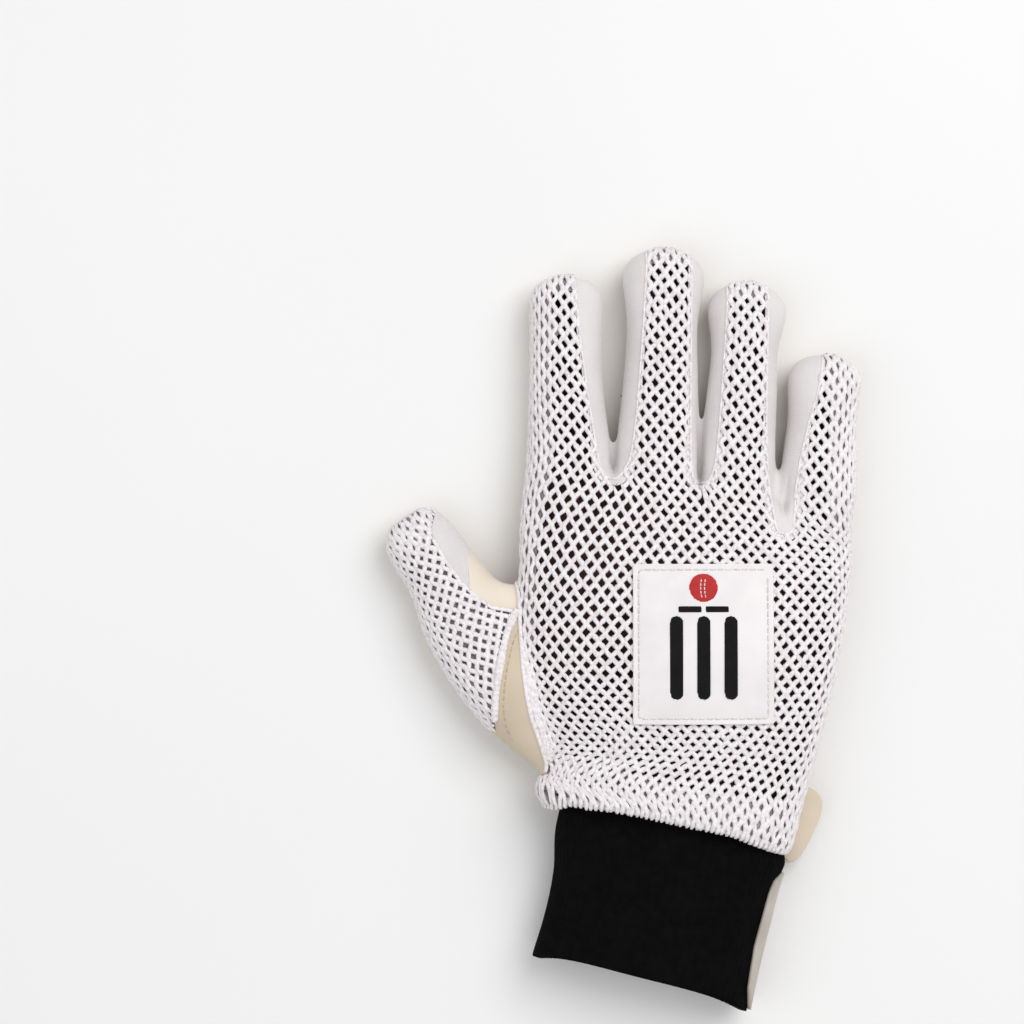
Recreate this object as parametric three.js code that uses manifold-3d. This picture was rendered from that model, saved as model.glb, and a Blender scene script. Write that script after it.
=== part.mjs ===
// A wicketkeeper's inner glove for the right hand, lying palm down.
// Millimetres. +Z comes up out of the back of the hand, +Y runs towards the fingertips and
// +X towards the little finger. The origin is on the palm's rest face, under the middle of the palm.
// The glove is one hollow form, made of lofted sections, and its panels are cut out of that wall.

import * as THREE from "three";
import Module from "manifold-3d";
import { mergeVertices } from "three/addons/utils/BufferGeometryUtils.js";

const wasm = await Module();
wasm.setup();

// Driving sizes of the hand
const PALM_WIDTH = 112;
const HAND_LENGTH = 121;
const HAND_DEPTH = 32;
const WRIST_TO_ORIGIN = 66.5;
const FINGER_LENGTH = 79;
const FINGER_WIDTH = 25;
const FINGER_DEPTH = 21;
const THUMB_LENGTH = 84;
const THUMB_WIDTH = 24;
const THUMB_DEPTH = 21;

// Driving sizes of the panels
const WALL = 1.8;
const CUFF_WALL = 2.4;
const CUFF_WIDTH = 78;
const CUFF_LENGTH = 53;
const CUFF_DEPTH = 29;
const PATCH_THICKNESS = 1.2;
const BADGE_WIDTH = 48;
const BADGE_HEIGHT = 54;
const BADGE_THICKNESS = 1.2;
const STRIP_THICKNESS = 1.4;
const STRIP_INSET = 4;
const STRIP_HEIGHTS = [3, 20];
const CLEARANCE = 0.3;

// Driving sizes of the seams and of the net
const HAND_SEAM_HEIGHT = 9;
const FINGER_SEAM_HEIGHT = 6.5;
const TIP_RIM = 2.7;
const TIP_HALF_WIDTH = 0.62 * FINGER_WIDTH;
const EYELET_PITCH_X = 14;
const EYELET_PITCH_Y = 16;
const EYELET_WIDTH = 7.6;
const EYELET_HEIGHT = 9.6;
const EYELET_MARGIN = 1.5;
const EYELET_SIDE_MARGIN = 12;
const EYELET_CROTCH_MARGIN = 17;
// The rows on the hand, as shares of HAND_LENGTH, and the column on each finger, as shares of its length.
const EYELET_ROWS = { first: 0.165, last: 0.95 };
const EYELET_COLUMN = { first: 0.02, last: 0.86, pitch: 0.8 * EYELET_PITCH_Y };

// The palm leather stands off the rest face by the patch that is sewn under it.
const PALM_FLOOR = PATCH_THICKNESS + CLEARANCE;
const FAR = 400;
const radians = THREE.MathUtils.degToRad;

// Sections of the hand, from the wrist to the crotches of the fingers.
// at: share of HAND_LENGTH. left, right: shares of PALM_WIDTH. depth: share of HAND_DEPTH.
// slope: degrees that the section turns clockwise. lift: share of HAND_DEPTH that it is off the palm's floor.
const HAND_SECTIONS = [
  { at: 0, left: -0.362, right: 0.357, depth: 0.92, slope: 12, lift: 0 },
  { at: 0.035, left: -0.398, right: 0.385, depth: 1.02, slope: 11, lift: 0 },
  { at: 0.1, left: -0.402, right: 0.416, depth: 1.03, slope: 8, lift: 0 },
  { at: 0.17, left: -0.376, right: 0.438, depth: 0.97, slope: 5, lift: 0 },
  { at: 0.36, left: -0.42, right: 0.482, depth: 1.02, slope: 2, lift: 0 },
  { at: 0.52, left: -0.45, right: 0.518, depth: 1.02, slope: 1.5, lift: 0 },
  { at: 0.71, left: -0.455, right: 0.548, depth: 0.96, slope: 3, lift: 0 },
  { at: 0.86, left: -0.448, right: 0.556, depth: 0.86, slope: 7, lift: 0 },
  { at: 0.94, left: -0.436, right: 0.552, depth: 0.79, slope: 9.5, lift: 0 },
  { at: 0.985, left: -0.425, right: 0.545, depth: 0.7, slope: 10.7, lift: 0.03 },
  { at: 1, left: -0.415, right: 0.535, depth: 0.54, slope: 10.7, lift: 0.1 },
];
const HAND_END_SECTIONS = 2;

// The fingers. root, tip: centre lines as shares of PALM_WIDTH. reach: share of FINGER_LENGTH past the hand.
// width: share of FINGER_WIDTH. bulge: how much wider the fingertip is. pinch: how narrow the last joint is.
const FINGERS = [
  { name: "index", root: -0.312, tip: -0.318, reach: 0.88, width: 0.99, bulge: 1.0, pinch: 0.98 },
  { name: "middle", root: -0.034, tip: -0.022, reach: 1, width: 0.99, bulge: 1.14, pinch: 0.97 },
  { name: "ring", root: 0.206, tip: 0.235, reach: 0.855, width: 0.93, bulge: 1.17, pinch: 0.96 },
  { name: "little", root: 0.452, tip: 0.474, reach: 0.545, width: 0.92, bulge: 1.05, pinch: 0.97 },
];

// Where the knitted back of each finger ends on its left and right, near the hand and at the tip, as shares
// of the finger's half width. A share past 1 wraps round the side.
const NET_EDGES = {
  index: { root: [-2, 0.86], tip: [-2, 0.2] },
  middle: { root: [-0.7, 0.82], tip: [-0.46, 0.72] },
  ring: { root: [-0.66, 0.72], tip: [-0.62, 0.52] },
  little: { root: [-0.72, 2], tip: [0.02, 2] },
};

// Sections along a finger. at: share of its length past the hand. width, depth: shares of the finger's own.
// floor: height off the surface, as a share of PALM_FLOOR.
const FINGER_SECTIONS = [
  { at: -0.45, width: 0.96, depth: 1.0, floor: 2 },
  { at: 0, width: 1.1, depth: 1.1, floor: 1 },
  { at: 0.2, width: 1.09, depth: 1.07, floor: 0 },
  { at: 0.45, width: 1.0, depth: 1.02, floor: 0 },
];
// The knitted back's edges run straight from MESH_ROOT_AT to the tip. Where it wraps a side, NET_ON_TOP of
// the finger's half width still faces up.
const MESH_ROOT_AT = 0.12;
const NET_ON_TOP = 0.7;
const PINCH_BELOW_TIP = 1.05;
const DOME_SHARE = 0.78;
const DOME_STEPS_DEG = [0, 35, 60, 78];

// Crotches between neighbouring fingers. at: share of PALM_WIDTH. drop: how far the fourchette's point lies
// below the end of the hand, as a share of HAND_LENGTH.
const CROTCHES = [
  { name: "index_middle", at: -0.176, drop: 0.035 },
  { name: "middle_ring", at: 0.092, drop: 0.035 },
  { name: "ring_little", at: 0.34, drop: 0.075 },
];
const CROTCH_HALF_WIDTH = 5;

// Sections of the thumb, from its root inside the hand. x, y: shares of THUMB_LENGTH from the root.
// width: share of THUMB_WIDTH. depth, floor: height and height off the surface, as shares of THUMB_DEPTH.
const THUMB_ROOT = { x: -0.3, y: -0.2 };
const THUMB_SECTIONS = [
  { x: -0.03, y: -0.06, width: 1.2, depth: 0.9, floor: 0.24 },
  { x: -0.15, y: 0.045, width: 1.36, depth: 1.0, floor: 0.2 },
  { x: -0.271, y: 0.155, width: 1.38, depth: 1.1, floor: 0.08 },
  { x: -0.35, y: 0.265, width: 1.36, depth: 1.12, floor: 0 },
  { x: -0.429, y: 0.392, width: 1.29, depth: 1.1, floor: 0 },
  { x: -0.509, y: 0.56, width: 1.13, depth: 1.05, floor: 0 },
  { x: -0.612, y: 0.72, width: 0.95, depth: 0.95, floor: 0 },
];
const THUMB_EYELETS = { first: 3, last: 5, shift: -0.04 };

// Outline of the thumb's knitted back from above, as shares of THUMB_LENGTH from the root.
// It runs up the side next to the index finger, round the tip, and back down the rolled seam.
const THUMB_MESH_OUTLINE = [
  [-0.3, -0.12],
  [-0.312, -0.01],
  [-0.295, 0.19],
  [-0.26, 0.34],
  [-0.225, 0.4],
  [-0.363, 0.436],
  [-0.46, 0.585],
  [-0.522, 0.71],
  [-0.55, 0.79],
  [-0.6, 0.815],
  [-0.9, 0.815],
  [-0.9, -0.12],
];

// The cuff's inner end stands on the palm leather inside the wrist.
const WRIST_FLOOR = PALM_FLOOR + WALL + CLEARANCE;

// Sections of the cuff, from its open end to inside the wrist. across, along: centre, as shares of CUFF_WIDTH
// and CUFF_LENGTH from the middle of the wrist seam. floor: height off the surface, as a share of WRIST_FLOOR.
// slope: degrees, as for the hand.
const CUFF_SECTIONS = [
  { across: -0.138, along: 0.96, width: 0.965, depth: 1.02, floor: 0, slope: 15.5 },
  { across: -0.08, along: 0.68, width: 0.925, depth: 0.98, floor: 0, slope: 13.5 },
  { across: -0.03, along: 0.38, width: 0.93, depth: 0.96, floor: 0, slope: 12.5 },
  { across: 0.006, along: 0.1, width: 0.96, depth: 0.94, floor: 0.45, slope: 12 },
  { across: 0.0, along: 0.03, width: 0.93, depth: 0.84, floor: 1, slope: 12 },
  { across: 0.004, along: -0.1, width: 0.93, depth: 0.83, floor: 1.03, slope: 11.8 },
];
const CUFF_SECTIONS_IN_SIGHT = 4;
const CUFF_START = { x: 0.4, y: -WRIST_TO_ORIGIN };

// Palm patch from above, as shares of PALM_WIDTH and HAND_LENGTH from the origin: the thumb's seam on the
// left, the stitch line under the fingers at the top and the line above the wrist at the bottom.
const PATCH_OUTLINE = [
  [-0.43, 0.42],
  [-0.4, 0.215],
  [-0.3, 0.18],
  [-0.255, 0.1],
  [-0.245, -0.08],
  [-0.25, -0.26],
  [-0.29, -0.33],
  [-0.42, -0.38],
  [0.6, -0.5],
  [0.6, 0.28],
  [0.1, 0.385],
];
const PATCH_TOP_HEIGHT = 2.8;

// The outer lower corner of the palm leather, which stands out past the knitted back, from above.
// Shares of PALM_WIDTH and HAND_LENGTH from the origin.
const LEATHER_CORNER = [
  [0.4, -0.42],
  [0.435, -0.425],
  [0.455, -0.45],
  [0.452, -0.5],
  [0.375, -0.628],
  [0.33, -0.6],
];
const CORNER_HEIGHTS = [5.8, 8.4];

// A closed three.js geometry as a solid that can be joined and cut.
function solid(geometry) {
  const bare = geometry.clone();
  bare.deleteAttribute("normal");
  bare.deleteAttribute("uv");
  const merged = mergeVertices(bare, 1e-4);
  return new wasm.Manifold(
    new wasm.Mesh({
      numProp: 3,
      vertProperties: merged.attributes.position.array,
      triVerts: new Uint32Array(merged.index.array),
    }),
  );
}

// The named mesh of a finished solid.
function piece(name, shape, material) {
  const mesh = shape.getMesh();
  const geometry = new THREE.BufferGeometry();
  geometry.setAttribute("position", new THREE.BufferAttribute(mesh.vertProperties, 3));
  geometry.setIndex(new THREE.BufferAttribute(mesh.triVerts, 1));
  geometry.computeVertexNormals();
  const made = new THREE.Mesh(geometry, material);
  made.name = name;
  return made;
}

// A vertical prism over an outline of [x, y] points.
function prism(outline, low, high) {
  const shape = new THREE.Shape(outline.map(([x, y]) => new THREE.Vector2(x, y)));
  const geometry = new THREE.ExtrudeGeometry(shape, { depth: high - low, bevelEnabled: false });
  return solid(geometry.translate(0, 0, low));
}

// One section: a soft oval that is flat where it rests.
// c: centre [x, y]. half: half width. low, high: its heights. turn: radians clockwise.
// round: the share of it that is left where an end rounds off.
const WIDEST_AT = 0.45;
const FLATTENING = 0.6;
const TOP_POWER = 2.3;
const FLOOR_POWER = 3.2;
function sectionPoints({ c, half, low, high, turn, round = 1 }, sides) {
  const middle = low + WIDEST_AT * (high - low);
  const points = [];
  for (let i = 0; i < sides; i++) {
    const angle = (2 * Math.PI * i) / sides;
    const across = Math.sin(angle);
    const up = Math.cos(angle);
    const power = 2 / (up >= 0 ? TOP_POWER : FLOOR_POWER);
    const x = half * round * Math.sign(across) * Math.abs(across) ** power;
    const rise = up >= 0 ? high - middle : middle - low + FLATTENING;
    const z = Math.max(low, middle + rise * Math.sign(up) * Math.abs(up) ** power);
    const roundedZ = middle + (z - middle) * round;
    points.push([c[0] + x * Math.cos(turn), c[1] - x * Math.sin(turn), roundedZ]);
  }
  return points;
}

// A closed solid through a row of sections.
function loft(sections, sides) {
  const rings = sections.map((s) => sectionPoints(s, sides));
  const positions = rings.flat(2);
  const index = [];
  for (let r = 0; r + 1 < rings.length; r++)
    for (let i = 0; i < sides; i++) {
      const [a, b] = [r * sides + i, r * sides + ((i + 1) % sides)];
      index.push(a, b, b + sides, a, b + sides, a + sides);
    }
  const last = (rings.length - 1) * sides;
  for (let i = 1; i + 1 < sides; i++) {
    index.push(0, i + 1, i);
    index.push(last, last + i, last + i + 1);
  }
  const geometry = new THREE.BufferGeometry();
  geometry.setAttribute("position", new THREE.Float32BufferAttribute(positions, 3));
  geometry.setIndex(index);
  return solid(geometry);
}

// The same sections pushed out (or in, if grow is negative) all round.
function grown(sections, grow) {
  return sections.map((s) => ({ ...s, half: s.half + grow, low: s.low - grow, high: s.high + grow }));
}

const wristY = -WRIST_TO_ORIGIN;
const handEndY = wristY + HAND_LENGTH;

// The slanting line of the crotches, where the hand ends.
function crotchLine(x) {
  return handEndY - x * Math.tan(radians(HAND_SECTIONS.at(-1).slope));
}

function handSections() {
  return HAND_SECTIONS.map(({ at, left, right, depth, slope, lift }) => {
    const x = ((left + right) / 2) * PALM_WIDTH;
    const turn = radians(slope);
    const y = wristY + at * HAND_LENGTH - x * Math.tan(turn);
    const half = (((right - left) / 2) * PALM_WIDTH) / Math.cos(turn);
    const low = PALM_FLOOR + lift * HAND_DEPTH;
    return { c: [x, y], half, low, high: low + depth * HAND_DEPTH, turn };
  });
}

// Centre line, half width and tip of a finger, at a share of its length past the hand.
function fingerAt(finger, at) {
  const length = finger.reach * FINGER_LENGTH;
  const x = THREE.MathUtils.lerp(finger.root, finger.tip, at) * PALM_WIDTH;
  return { x, y: handEndY + at * length };
}

function fingerSections(finger) {
  const length = finger.reach * FINGER_LENGTH;
  const half = (finger.width * FINGER_WIDTH) / 2;
  const dome = (half * finger.bulge * DOME_SHARE) / length;
  const pinchAt = 1 - dome - (PINCH_BELOW_TIP * half) / length;
  const turn = Math.atan2((finger.tip - finger.root) * PALM_WIDTH, length);
  const rows = [
    ...FINGER_SECTIONS.filter((s) => s.at < pinchAt - 0.1),
    { at: pinchAt, width: finger.pinch, depth: 0.98 },
    { at: (pinchAt + 1 - dome) / 2 + dome / 4, width: (finger.pinch + 2 * finger.bulge) / 3, depth: 0.96 },
    ...DOME_STEPS_DEG.map((deg) => ({
      at: 1 - dome + dome * Math.sin(radians(deg)),
      width: finger.bulge,
      depth: 0.95,
      round: Math.cos(radians(deg)),
    })),
  ];
  return rows.map(({ at, width, depth, floor = 0, round = 1 }) => {
    const { x, y } = fingerAt(finger, at);
    const low = floor * PALM_FLOOR;
    return { c: [x, y], half: half * width, low, high: low + depth * FINGER_DEPTH, turn, round };
  });
}

const thumbRoot = [THUMB_ROOT.x * PALM_WIDTH, THUMB_ROOT.y * HAND_LENGTH];
const onThumb = ([x, y]) => [thumbRoot[0] + x * THUMB_LENGTH, thumbRoot[1] + y * THUMB_LENGTH];

function thumbSections() {
  const centres = THUMB_SECTIONS.map(({ x, y }) => onThumb([x, y]));
  const rows = THUMB_SECTIONS.map((s, i) => {
    const [before, after] = [centres[Math.max(i - 1, 0)], centres[Math.min(i + 1, centres.length - 1)]];
    const turn = Math.atan2(after[0] - before[0], after[1] - before[1]);
    const low = s.floor * THUMB_DEPTH;
    const half = (s.width * THUMB_WIDTH) / 2;
    return { c: centres[i], half, low, high: low + s.depth * THUMB_DEPTH, turn };
  });
  const end = rows.at(-1);
  const dome = end.half * DOME_SHARE;
  for (const deg of DOME_STEPS_DEG.slice(1)) {
    const out = dome * Math.sin(radians(deg));
    const c = [end.c[0] + out * Math.sin(end.turn), end.c[1] + out * Math.cos(end.turn)];
    rows.push({ ...end, c, round: Math.cos(radians(deg)) });
  }
  return rows;
}

function cuffSections() {
  return CUFF_SECTIONS.map(({ across, along, width, depth, floor, slope }) => {
    const c = [CUFF_START.x + across * CUFF_WIDTH, CUFF_START.y - along * CUFF_LENGTH];
    const low = floor * WRIST_FLOOR;
    return { c, half: (width * CUFF_WIDTH) / 2, low, high: low + depth * CUFF_DEPTH, turn: radians(slope) };
  });
}

// A section moved along its own direction.
function moved(section, by) {
  const [x, y] = section.c;
  return { ...section, c: [x + by * Math.sin(section.turn), y + by * Math.cos(section.turn)] };
}

// A row of sections carried on past its first or its last one, so that a hollow runs out at the open end.
const openedAtStart = (sections, by) => [moved(sections[0], -by), ...sections];
const openedAtEnd = (sections, by) => [...sections, moved(sections.at(-1), by)];

// The last sections drawn back by the wall, so that a hollow keeps the wall's thickness at a closed end.
function shortened(sections, count, by) {
  return sections.map((s, i) => (i < sections.length - count ? s : moved(s, -by)));
}

const HAND_SIDES = 22;
const FINGER_SIDES = 14;
const handForm = loft(handSections(), HAND_SIDES);
const DOME_SECTIONS = DOME_STEPS_DEG.length - 1;
const handInside = shortened(grown(handSections(), -WALL), HAND_END_SECTIONS, WALL);
const handHollow = loft(openedAtStart(handInside, WALL), HAND_SIDES);
const fingerForms = FINGERS.map((f) => loft(fingerSections(f), FINGER_SIDES));
const fingerHollows = FINGERS.map((f) =>
  loft(shortened(grown(fingerSections(f), -WALL), DOME_SECTIONS, WALL), FINGER_SIDES),
);
const thumbForm = loft(thumbSections(), FINGER_SIDES);
const thumbHollow = loft(shortened(grown(thumbSections(), -WALL), DOME_SECTIONS, WALL), FINGER_SIDES);

const gloveForm = fingerForms.reduce((a, b) => a.add(b), handForm);
const gloveHollow = fingerHollows.reduce((a, b) => a.add(b), handHollow);
const gloveWall = gloveForm.subtract(gloveHollow).subtract(thumbHollow);

// Everything under the side seam, raised by a clearance for the panels above it.
function belowSeam(clearance) {
  const [hand, finger] = [HAND_SEAM_HEIGHT + clearance, FINGER_SEAM_HEIGHT + clearance];
  const profile = new THREE.Shape([
    new THREE.Vector2(-FAR, -FAR),
    new THREE.Vector2(FAR, -FAR),
    new THREE.Vector2(FAR, finger),
    new THREE.Vector2(handEndY + FINGER_WIDTH / 2, finger),
    new THREE.Vector2(handEndY - FINGER_WIDTH / 2, hand),
    new THREE.Vector2(-FAR, hand),
  ]);
  const geometry = new THREE.ExtrudeGeometry(profile, { depth: 2 * FAR, bevelEnabled: false });
  // The profile's axes are the part's Y and Z, and it is drawn out along X.
  geometry.applyMatrix4(new THREE.Matrix4().set(0, 0, 1, -FAR, 1, 0, 0, 0, 0, 1, 0, 0, 0, 0, 0, 1));
  return solid(geometry);
}

// The end of each finger that the palm leather wraps over.
function fingertips(clearance) {
  return FINGERS.map((finger) => {
    const tip = fingerAt(finger, 1);
    const half = TIP_HALF_WIDTH;
    const low = tip.y - TIP_RIM - clearance;
    const [left, right] = [tip.x - half, tip.x + half];
    return prism([[left, low], [right, low], [right, FAR], [left, FAR]], -FAR, FAR);
  }).reduce((a, b) => a.add(b));
}

// Where the knitted back ends on one side of a finger, at its root or at its tip.
function meshEdge(finger, end, side) {
  const { x, y } = fingerAt(finger, end === "tip" ? 1 : MESH_ROOT_AT);
  const half = (finger.width * FINGER_WIDTH) / 2;
  return [x + NET_EDGES[finger.name][end][side] * half, y];
}

// The opening between two knitted finger backs that a fourchette fills, from above.
function fourchetteOutline(i, inset) {
  const crotch = CROTCHES[i];
  const x = crotch.at * PALM_WIDTH;
  const y = crotchLine(x) - crotch.drop * HAND_LENGTH;
  const [leftRoot, leftTip] = ["root", "tip"].map((end) => meshEdge(FINGERS[i], end, 1));
  const [rightRoot, rightTip] = ["root", "tip"].map((end) => meshEdge(FINGERS[i + 1], end, 0));
  const w = CROTCH_HALF_WIDTH - inset;
  return [
    [x - w / 2, y + inset],
    [x + w / 2, y + inset],
    [x + w, y + w / 2 + inset],
    [rightRoot[0] - inset, rightRoot[1]],
    [rightTip[0] - inset, rightTip[1]],
    [rightTip[0] - inset, FAR],
    [leftTip[0] + inset, FAR],
    [leftTip[0] + inset, leftTip[1]],
    [leftRoot[0] + inset, leftRoot[1]],
    [x - w, y + w / 2 + inset],
  ];
}

const aboveSeam = gloveWall.subtract(belowSeam(CLEARANCE)).subtract(fingertips(CLEARANCE));

function fourchette(i) {
  return aboveSeam.intersect(prism(fourchetteOutline(i, CLEARANCE), -FAR, FAR));
}

// Places of the eyelets on the back of the hand: staggered rows that keep clear of the side seams, of the
// fourchettes' points and of the badge.
function handEyelets() {
  const places = [];
  const lowest = wristY + EYELET_ROWS.first * HAND_LENGTH;
  const rows = ((EYELET_ROWS.last - EYELET_ROWS.first) * HAND_LENGTH) / (EYELET_PITCH_Y / 2);
  for (let row = 0; row < rows; row++) {
    const y = lowest + (row * EYELET_PITCH_Y) / 2;
    const { left, right } = handEdges(y);
    const columns = Math.ceil(PALM_WIDTH / EYELET_PITCH_X);
    for (let column = -columns; column <= columns; column++) {
      const x = (column + (row % 2) / 2) * EYELET_PITCH_X;
      const onNet = x > left + EYELET_SIDE_MARGIN && x < right - EYELET_SIDE_MARGIN;
      const belowCrotches = y < crotchLine(x) - EYELET_CROTCH_MARGIN;
      if (onNet && belowCrotches && !nearBadge(x, y)) places.push([x, y]);
    }
  }
  return places;
}

// Where the sides of the hand are at a height y of its outline from above.
function handEdges(y) {
  const share = (y - wristY) / HAND_LENGTH;
  const after = Math.max(1, HAND_SECTIONS.findIndex((s) => s.at > share));
  const [a, b] = [HAND_SECTIONS[after - 1], HAND_SECTIONS[after]];
  const mix = (share - a.at) / (b.at - a.at);
  const edge = (side) => THREE.MathUtils.lerp(a[side], b[side], mix) * PALM_WIDTH;
  return { left: edge("left"), right: edge("right") };
}

function nearBadge(x, y) {
  const w = (BADGE_WIDTH + EYELET_WIDTH) / 2 + EYELET_MARGIN;
  const h = (BADGE_HEIGHT + EYELET_HEIGHT) / 2 + EYELET_MARGIN;
  return Math.abs(x - badgeCentre[0]) < w && Math.abs(y - badgeCentre[1]) < h;
}

// Places of the eyelets on the back of a finger: one column along the middle of its net.
function fingerEyelets(finger) {
  const onTop = (share) => THREE.MathUtils.clamp(share, -NET_ON_TOP, NET_ON_TOP);
  const middle = (edges) => (onTop(edges[0]) + onTop(edges[1])) / 2;
  const { first, last, pitch } = EYELET_COLUMN;
  const count = Math.floor(((last - first) * finger.reach * FINGER_LENGTH) / pitch);
  return Array.from({ length: count }, (_, i) => {
    const at = first + ((last - first) * (i + 0.5)) / count;
    const { x, y } = fingerAt(finger, at);
    const edges = NET_EDGES[finger.name];
    const share = THREE.MathUtils.lerp(middle(edges.root), middle(edges.tip), at);
    return [x + (share * finger.width * FINGER_WIDTH) / 2, y];
  });
}

function eyelet([x, y]) {
  const [w, h] = [EYELET_WIDTH / 2, EYELET_HEIGHT / 2];
  return prism([[x - w, y], [x, y - h], [x + w, y], [x, y + h]], HAND_SEAM_HEIGHT, FAR);
}

const badgeCentre = [0.097 * PALM_WIDTH, -0.016 * HAND_LENGTH];
function badgeOutline(grow) {
  const [w, h] = [BADGE_WIDTH / 2 + grow, BADGE_HEIGHT / 2 + grow];
  const [x, y] = badgeCentre;
  return [[x - w, y - h], [x + w, y - h], [x + w, y + h], [x - w, y + h]];
}

// The knitted net, with a whole band along its edges.
function knittedBack() {
  const openings = CROTCHES.map((_, i) => prism(fourchetteOutline(i, 0), -FAR, FAR));
  const eyelets = [...handEyelets(), ...FINGERS.flatMap(fingerEyelets)].map(eyelet);
  return [...openings, ...eyelets].reduce((a, b) => a.subtract(b), aboveSeam);
}

function palmLeather() {
  const under = belowSeam(0).add(fingertips(0));
  const corner = prism(
    LEATHER_CORNER.map(([x, y]) => [x * PALM_WIDTH, y * HAND_LENGTH]),
    ...CORNER_HEIGHTS,
  );
  return gloveWall.intersect(under).add(corner.subtract(handHollow));
}

function palmPatch() {
  const outer = loft(grown(handSections(), CLEARANCE + PATCH_THICKNESS), HAND_SIDES);
  const inner = loft(grown(openedAtStart(handSections(), WALL), CLEARANCE), HAND_SIDES);
  const outline = PATCH_OUTLINE.map(([x, y]) => [x * PALM_WIDTH, y * HAND_LENGTH]);
  const under = prism(outline, -FAR, PATCH_TOP_HEIGHT);
  const near = [...FINGERS.map(fingerSections), thumbSections()].map((sections) =>
    loft(openedAtStart(grown(sections, CLEARANCE), CLEARANCE), FINGER_SIDES),
  );
  return near.reduce((a, b) => a.subtract(b), outer.subtract(inner).intersect(under));
}

function badgePanel() {
  const outer = loft(grown(handSections(), CLEARANCE + BADGE_THICKNESS), HAND_SIDES);
  const inner = loft(grown(openedAtStart(handSections(), WALL), CLEARANCE), HAND_SIDES);
  return outer.subtract(inner).intersect(prism(badgeOutline(0), HAND_SEAM_HEIGHT, FAR));
}

function thumbPanels() {
  const wall = thumbForm.subtract(thumbHollow).subtract(loft(grown(handSections(), CLEARANCE), HAND_SIDES));
  const near = prism(THUMB_MESH_OUTLINE.map(onThumb), FINGER_SEAM_HEIGHT, FAR);
  const { first, last, shift } = THUMB_EYELETS;
  const eyelets = THUMB_SECTIONS.slice(first, last + 1).map(({ x, y }) => eyelet(onThumb([x + shift, y])));
  const mesh = eyelets.reduce((a, b) => a.subtract(b), wall.intersect(near));
  const ways = [[1, 0, 0], [-1, 0, 0], [0, 1, 0], [0, -1, 0], [0, 0, -1]];
  const nearAndRound = ways.map((way) => near.translate(way.map((v) => v * CLEARANCE)));
  const leather = nearAndRound.reduce((a, b) => a.subtract(b), wall);
  return { mesh, leather };
}

function cuff() {
  const bore = openedAtEnd(openedAtStart(grown(cuffSections(), -CUFF_WALL), CUFF_WALL), CUFF_WALL);
  return loft(cuffSections(), HAND_SIDES).subtract(loft(bore, HAND_SIDES));
}

// The leather facing along the cuff's side under the little finger, from near its open end to the wrist.
function cuffStrip() {
  const sections = cuffSections().slice(0, CUFF_SECTIONS_IN_SIGHT);
  const shell = loft(grown(sections, CLEARANCE + STRIP_THICKNESS), HAND_SIDES).subtract(
    loft(openedAtEnd(openedAtStart(grown(sections, CLEARANCE), WALL), WALL), HAND_SIDES),
  );
  const edge = sections.map(({ c, half, turn }) => {
    const reach = half - STRIP_INSET;
    return [c[0] + reach * Math.cos(turn), c[1] - reach * Math.sin(turn)];
  });
  const outline = [...edge, [FAR, edge.at(-1)[1]], [FAR, -FAR], [edge[0][0], -FAR]];
  return shell.intersect(prism(outline, ...STRIP_HEIGHTS));
}

const leatherMaterial = new THREE.MeshStandardMaterial({ color: 0xdfd0ba, roughness: 0.62, metalness: 0 });
const netMaterial = new THREE.MeshStandardMaterial({ color: 0xf2eeef, roughness: 0.95, metalness: 0 });
const fourchetteMaterial = new THREE.MeshStandardMaterial({ color: 0xdcd7d7, roughness: 0.85, metalness: 0 });
const badgeMaterial = new THREE.MeshStandardMaterial({ color: 0xefebec, roughness: 0.5, metalness: 0 });
const stripMaterial = new THREE.MeshStandardMaterial({ color: 0xbcb4ac, roughness: 0.65, metalness: 0 });
const cuffMaterial = new THREE.MeshStandardMaterial({ color: 0x0c0c0c, roughness: 0.95, metalness: 0 });

const glove = new THREE.Group();
const thumb = thumbPanels();
glove.add(
  piece("palm_leather", palmLeather(), leatherMaterial),
  piece("palm_patch", palmPatch(), leatherMaterial),
  piece("mesh_back", knittedBack(), netMaterial),
  ...CROTCHES.map(({ name }, i) => piece(`fourchette_${name}`, fourchette(i), fourchetteMaterial)),
  piece("thumb_leather", thumb.leather, leatherMaterial),
  piece("thumb_mesh", thumb.mesh, netMaterial),
  piece("badge_panel", badgePanel(), badgeMaterial),
  piece("wrist_cuff", cuff(), cuffMaterial),
  piece("cuff_strip", cuffStrip(), stripMaterial),
);

export default glove;
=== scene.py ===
import math

import bpy
import numpy as np
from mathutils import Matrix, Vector
from mathutils.bvhtree import BVHTree
from mathutils.kdtree import KDTree


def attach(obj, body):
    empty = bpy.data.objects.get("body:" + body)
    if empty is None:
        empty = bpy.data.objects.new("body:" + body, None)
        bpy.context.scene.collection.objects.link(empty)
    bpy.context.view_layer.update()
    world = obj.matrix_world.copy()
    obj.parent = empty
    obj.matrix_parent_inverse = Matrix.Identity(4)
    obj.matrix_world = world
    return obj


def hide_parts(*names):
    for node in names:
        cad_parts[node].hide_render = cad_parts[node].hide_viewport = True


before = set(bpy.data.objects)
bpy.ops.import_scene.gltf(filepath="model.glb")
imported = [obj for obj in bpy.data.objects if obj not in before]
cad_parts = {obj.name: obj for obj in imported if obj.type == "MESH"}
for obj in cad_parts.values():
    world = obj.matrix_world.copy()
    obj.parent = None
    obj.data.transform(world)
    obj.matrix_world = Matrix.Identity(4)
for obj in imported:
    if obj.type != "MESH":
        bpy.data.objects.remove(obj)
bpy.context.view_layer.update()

MM = 0.001
random = np.random.default_rng(7)

# Camera, straight above the glove, with the photograph's framing
CAMERA_AT = (-53.7, 43.5, 982.0)
LENS_MM = 100
SENSOR_MM = 36

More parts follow.
